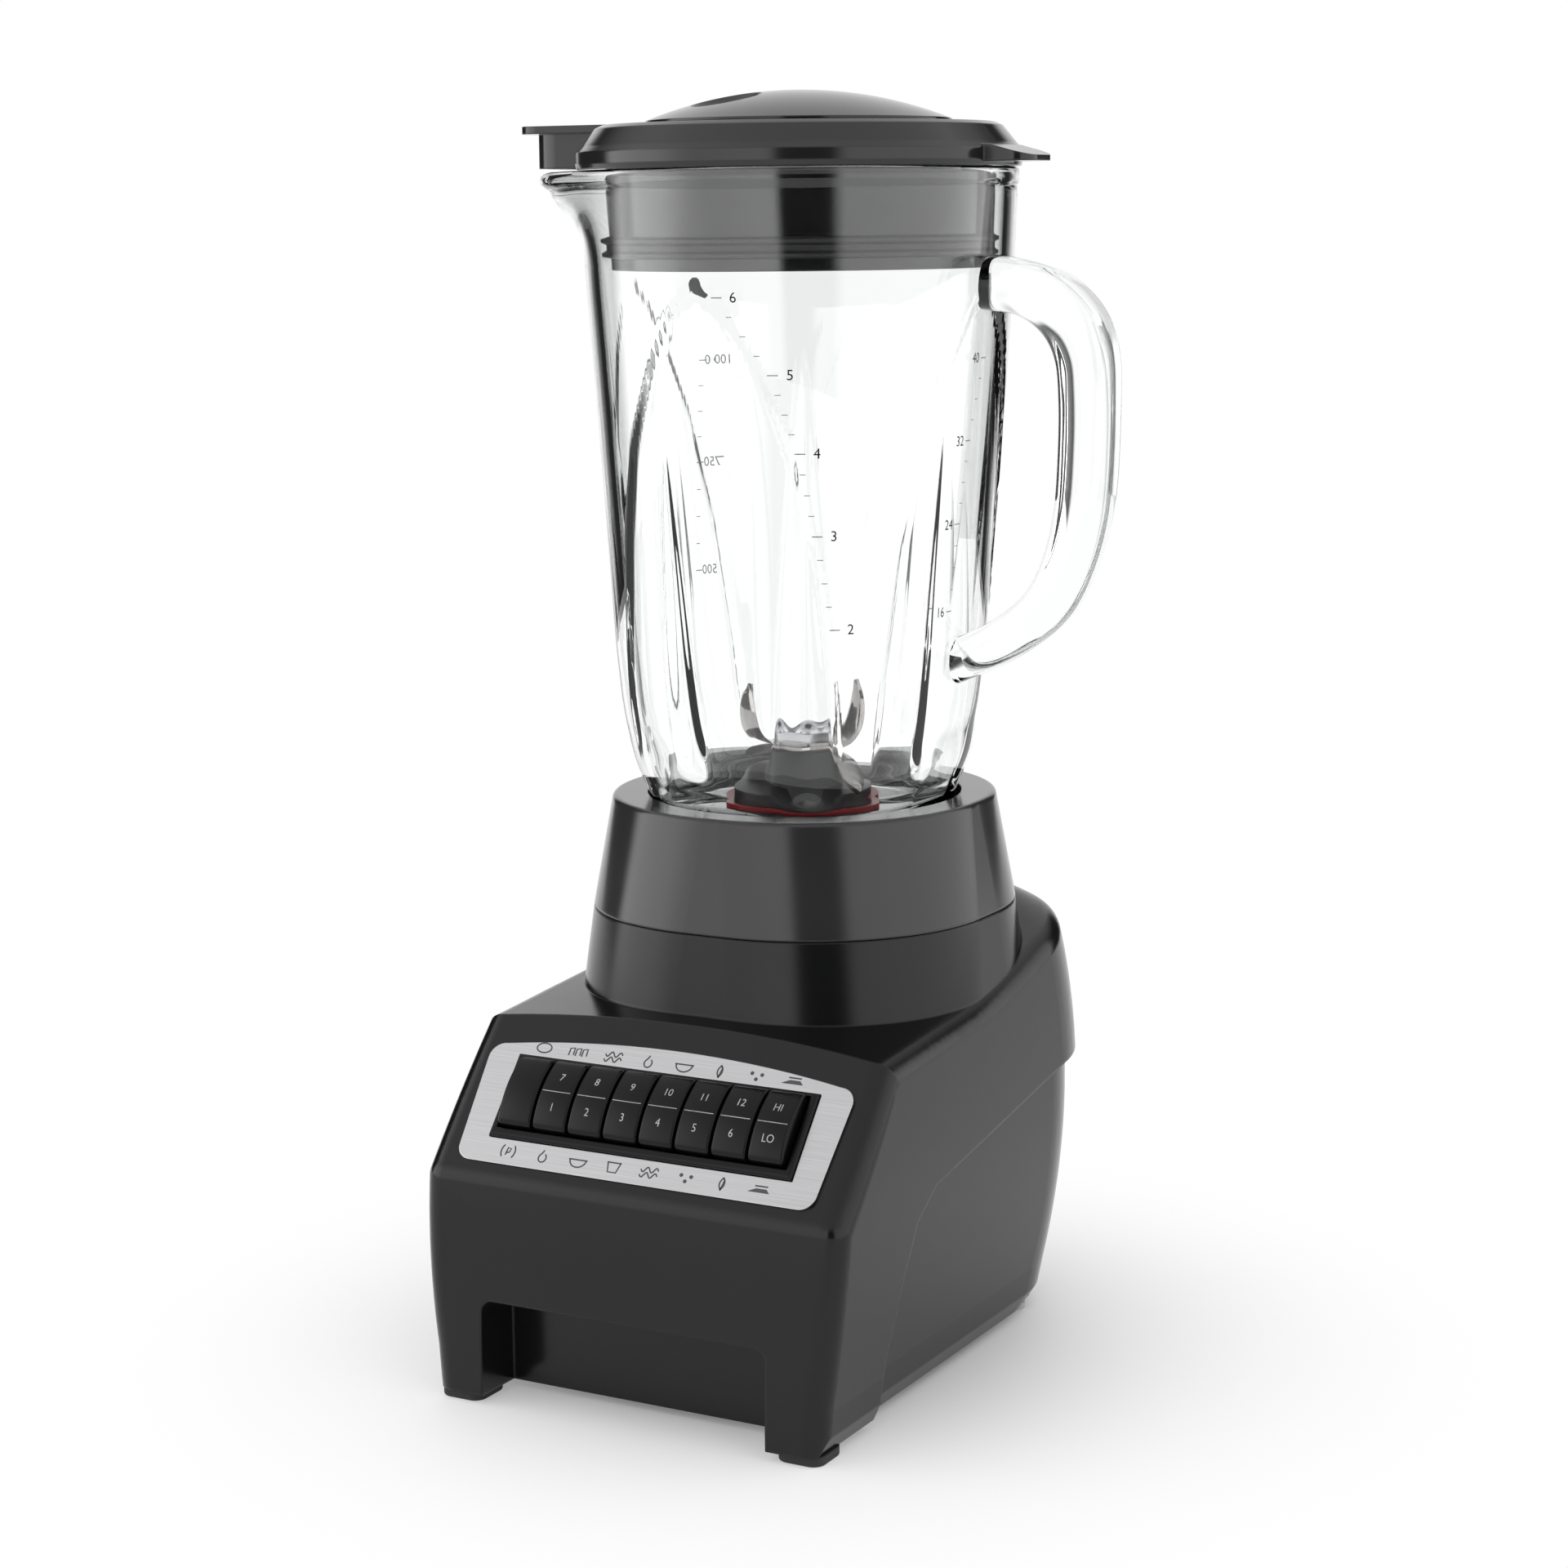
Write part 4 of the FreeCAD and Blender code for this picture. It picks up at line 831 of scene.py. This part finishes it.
def key_legends():
    """Numbers and a dividing line on seven keys; the first key is plain."""
    for index in range(1, KEY_COUNT):
        x = key_x(index)
        line = stroke([(x - 4.9, KEY_MID_V), (x + 4.9, KEY_MID_V)], 0.24)
        points, faces = slab(line, KEY_PROUD - 0.02)
        for text, v in ((UPPER_LEGENDS[index - 1], KEY_MID_V - 4.9), (LOWER_LEGENDS[index - 1], KEY_MID_V + 5.1)):
            flat, letter_faces = skin(text_mesh(text, LEGEND_SIZE))
            placed = [on_panel(x + p.x * 0.92, v - p.y, key_top(v - p.y) + 0.02 + p.z) for p in flat]
            append(points, faces, placed, letter_faces)
        name = "legend_%d" % (index + 1)
        new_object(name, mesh_from(name, points, faces), MATERIALS["print_grey"], "key_%d_body" % (index + 1))


def icon(kind, x, v):
    """Small generic pictogram, about 6 mm wide."""
    def line(*points):
        return stroke([(x + a, v + b) for a, b in points], ICON_LINE)

    def arc(dx, dv, rx, rv, start, end, *more):
        return stroke(arc_points(x + dx, v + dv, rx, rv, start, end) + [(x + a, v + b) for a, b in more],
                      ICON_LINE)

    if kind == "ring":
        return [arc(0, 0, 2.6, 1.6, 0, 358)]
    if kind == "cubes":
        return [line((d, 1.3), (d, -1.0), (d + 1.5, -1.3), (d + 1.6, 1.0)) for d in (-3.2, -0.9, 1.4)]
    if kind == "wave":
        return [line(*((-3 + 0.3 * i, d + 0.8 * math.sin(i * 0.63)) for i in range(21))) for d in (-0.8, 0.9)]
    if kind == "drop":
        return [arc(0, 0.5, 1.3, 1.4, -60, 240, (0, -2.0))]
    if kind == "cup":
        return [line((-2.2, -1.4), (-1.4, 1.7), (1.4, 1.7), (2.2, -1.4)), line((-2.4, -1.4), (2.4, -1.4))]
    if kind == "bowl":
        return [arc(0, -0.6, 2.8, 2.4, 0, 180), line((-3.2, -0.6), (3.2, -0.6))]
    if kind == "leaf":
        return [arc(-0.9, 0, 1.7, 2.0, -70, 70), arc(0.9, 0, 1.7, 2.0, 110, 250), line((0, 2.2), (0.6, -1.4))]
    if kind == "dots":
        return [arc_points(x + d, v + e, 0.6, 0.6, 0, 340, 12) for d, e in ((-1.6, -0.8), (0.2, 1.0), (1.8, -0.6))]
    if kind == "brackets":
        return [arc(-1.0, 0, 1.4, 2.2, 120, 240), arc(1.0, 0, 1.4, 2.2, -60, 60),
                line((-0.6, 1.3), (-0.3, -1.2), (0.8, -0.9), (0.5, 0.3), (-0.4, 0.5))]
    return [[(x - 3.6, v + 1.0), (x + 3.6, v + 1.0), (x + 2.4, v - 0.2), (x - 1.0, v - 0.2)],
            line((-1.6, -1.0), (2.6, -1.0))]


ICON_LINE = 0.42
ICONS_ABOVE = ("ring", "cubes", "wave", "drop", "bowl", "leaf", "dots", "wedge")
ICONS_BELOW = ("brackets", "drop", "bowl", "cup", "wave", "dots", "leaf", "wedge")


def panel_icons():
    """A row of pictograms above the keys and one below."""
    outlines = []
    for index in range(KEY_COUNT):
        x = key_x(index)
        outlines += icon(ICONS_ABOVE[index], x - 1.5, 1.0)
        outlines += icon(ICONS_BELOW[index], x - 0.5, 36.0)
    printed("panel_icons", outlines, PLATE_T + 0.01, MATERIALS["print_dark"], "base")


# ---------------------------------------------------------------- marks on the jar
def on_jar(angle, z, lift):
    """Point just outside the glass at an azimuth in radians."""
    radius = np.interp((angle % (2 * np.pi)), np.append(THETA, 2 * np.pi),
                       np.append(outer_radius(z), outer_radius(z)[0]))
    return at((radius + lift) * math.cos(angle), (radius + lift) * math.sin(angle), z)


MARK_SIZE = 4.4
MARK_LIFT = 0.06                       # how far the print stands off the glass
MARK_BEND = 62.0                       # radius round which a number is bent


def jar_marks(name, rows, tick_side):
    """Column of numbers with ticks: rows of height, azimuth in degrees and text, from the foot up."""
    points, faces = [], []

    def add(flat, flat_faces, z, azimuth):
        bent = [on_jar(math.radians(azimuth) + x / MARK_BEND, z + y, MARK_LIFT) for x, y in flat]
        append(points, faces, bent, flat_faces)

    def tick(z, azimuth, near, far, half):
        x0, x1 = tick_side * near, tick_side * far
        add([(x0, -half), (x1, -half), (x1, half), (x0, half)], [(0, 1, 2, 3)], z, azimuth)

    for z, azimuth, text in rows:
        letters, letter_faces = skin(text_mesh(text, MARK_SIZE))
        add([(p.x, p.y) for p in letters], letter_faces, z, azimuth)
        tick(z, azimuth, 3.4, 6.6, 0.16)
    for low, high in zip(rows, rows[1:]):
        for k in (0.25, 0.5, 0.75):
            tick(low[0] + (high[0] - low[0]) * k, low[1] + (high[1] - low[1]) * k, 4.6, 6.4, 0.12)
    new_object(name, mesh_from(name, points, faces), MATERIALS["print_mark"], "jar_group")


CUP_ROWS = ((233.0, -47.8, "2"), (261.0, -52.7, "3"), (285.5, -57.3, "4"), (308.5, -64.3, "5"), (331.0, -79.0, "6"))
OUNCE_ROWS = ((235.5, -15.0, "16"), (262.0, -13.0, "24"), (287.0, -9.5, "32"), (311.6, -3.4, "40"))
METRIC_ROWS = ((240.0, 150.0, "500"), (275.0, 147.0, "750"), (308.0, 144.0, "1000"))


# ---------------------------------------------------------------- the script
make_camera()
make_world()
make_floor()
MATERIALS = make_materials()
SLOT_OF = {part["node"]: part["material_slot"] for part in frame["record"]["subparts"]}
for name, cad in NODES.items():
    cad.data.materials.clear()
    cad.data.materials.append(MATERIALS[SLOT_OF[name]])

make_jar()
make_blade("upper_sickle", "upper_blade", UPPER_ARM, UPPER_AZIMUTH, UPPER_HUB_Z)
make_blade("lower_sickle", "lower_blade", LOWER_ARM, LOWER_AZIMUTH, LOWER_HUB_Z)
make_keys()
key_legends()
panel_icons()
jar_marks("cup_marks", CUP_ROWS, -1)
jar_marks("ounce_marks", OUNCE_ROWS, 1)
jar_marks("metric_marks", METRIC_ROWS, 1)

bpy.context.scene.view_settings.view_transform = "Standard"
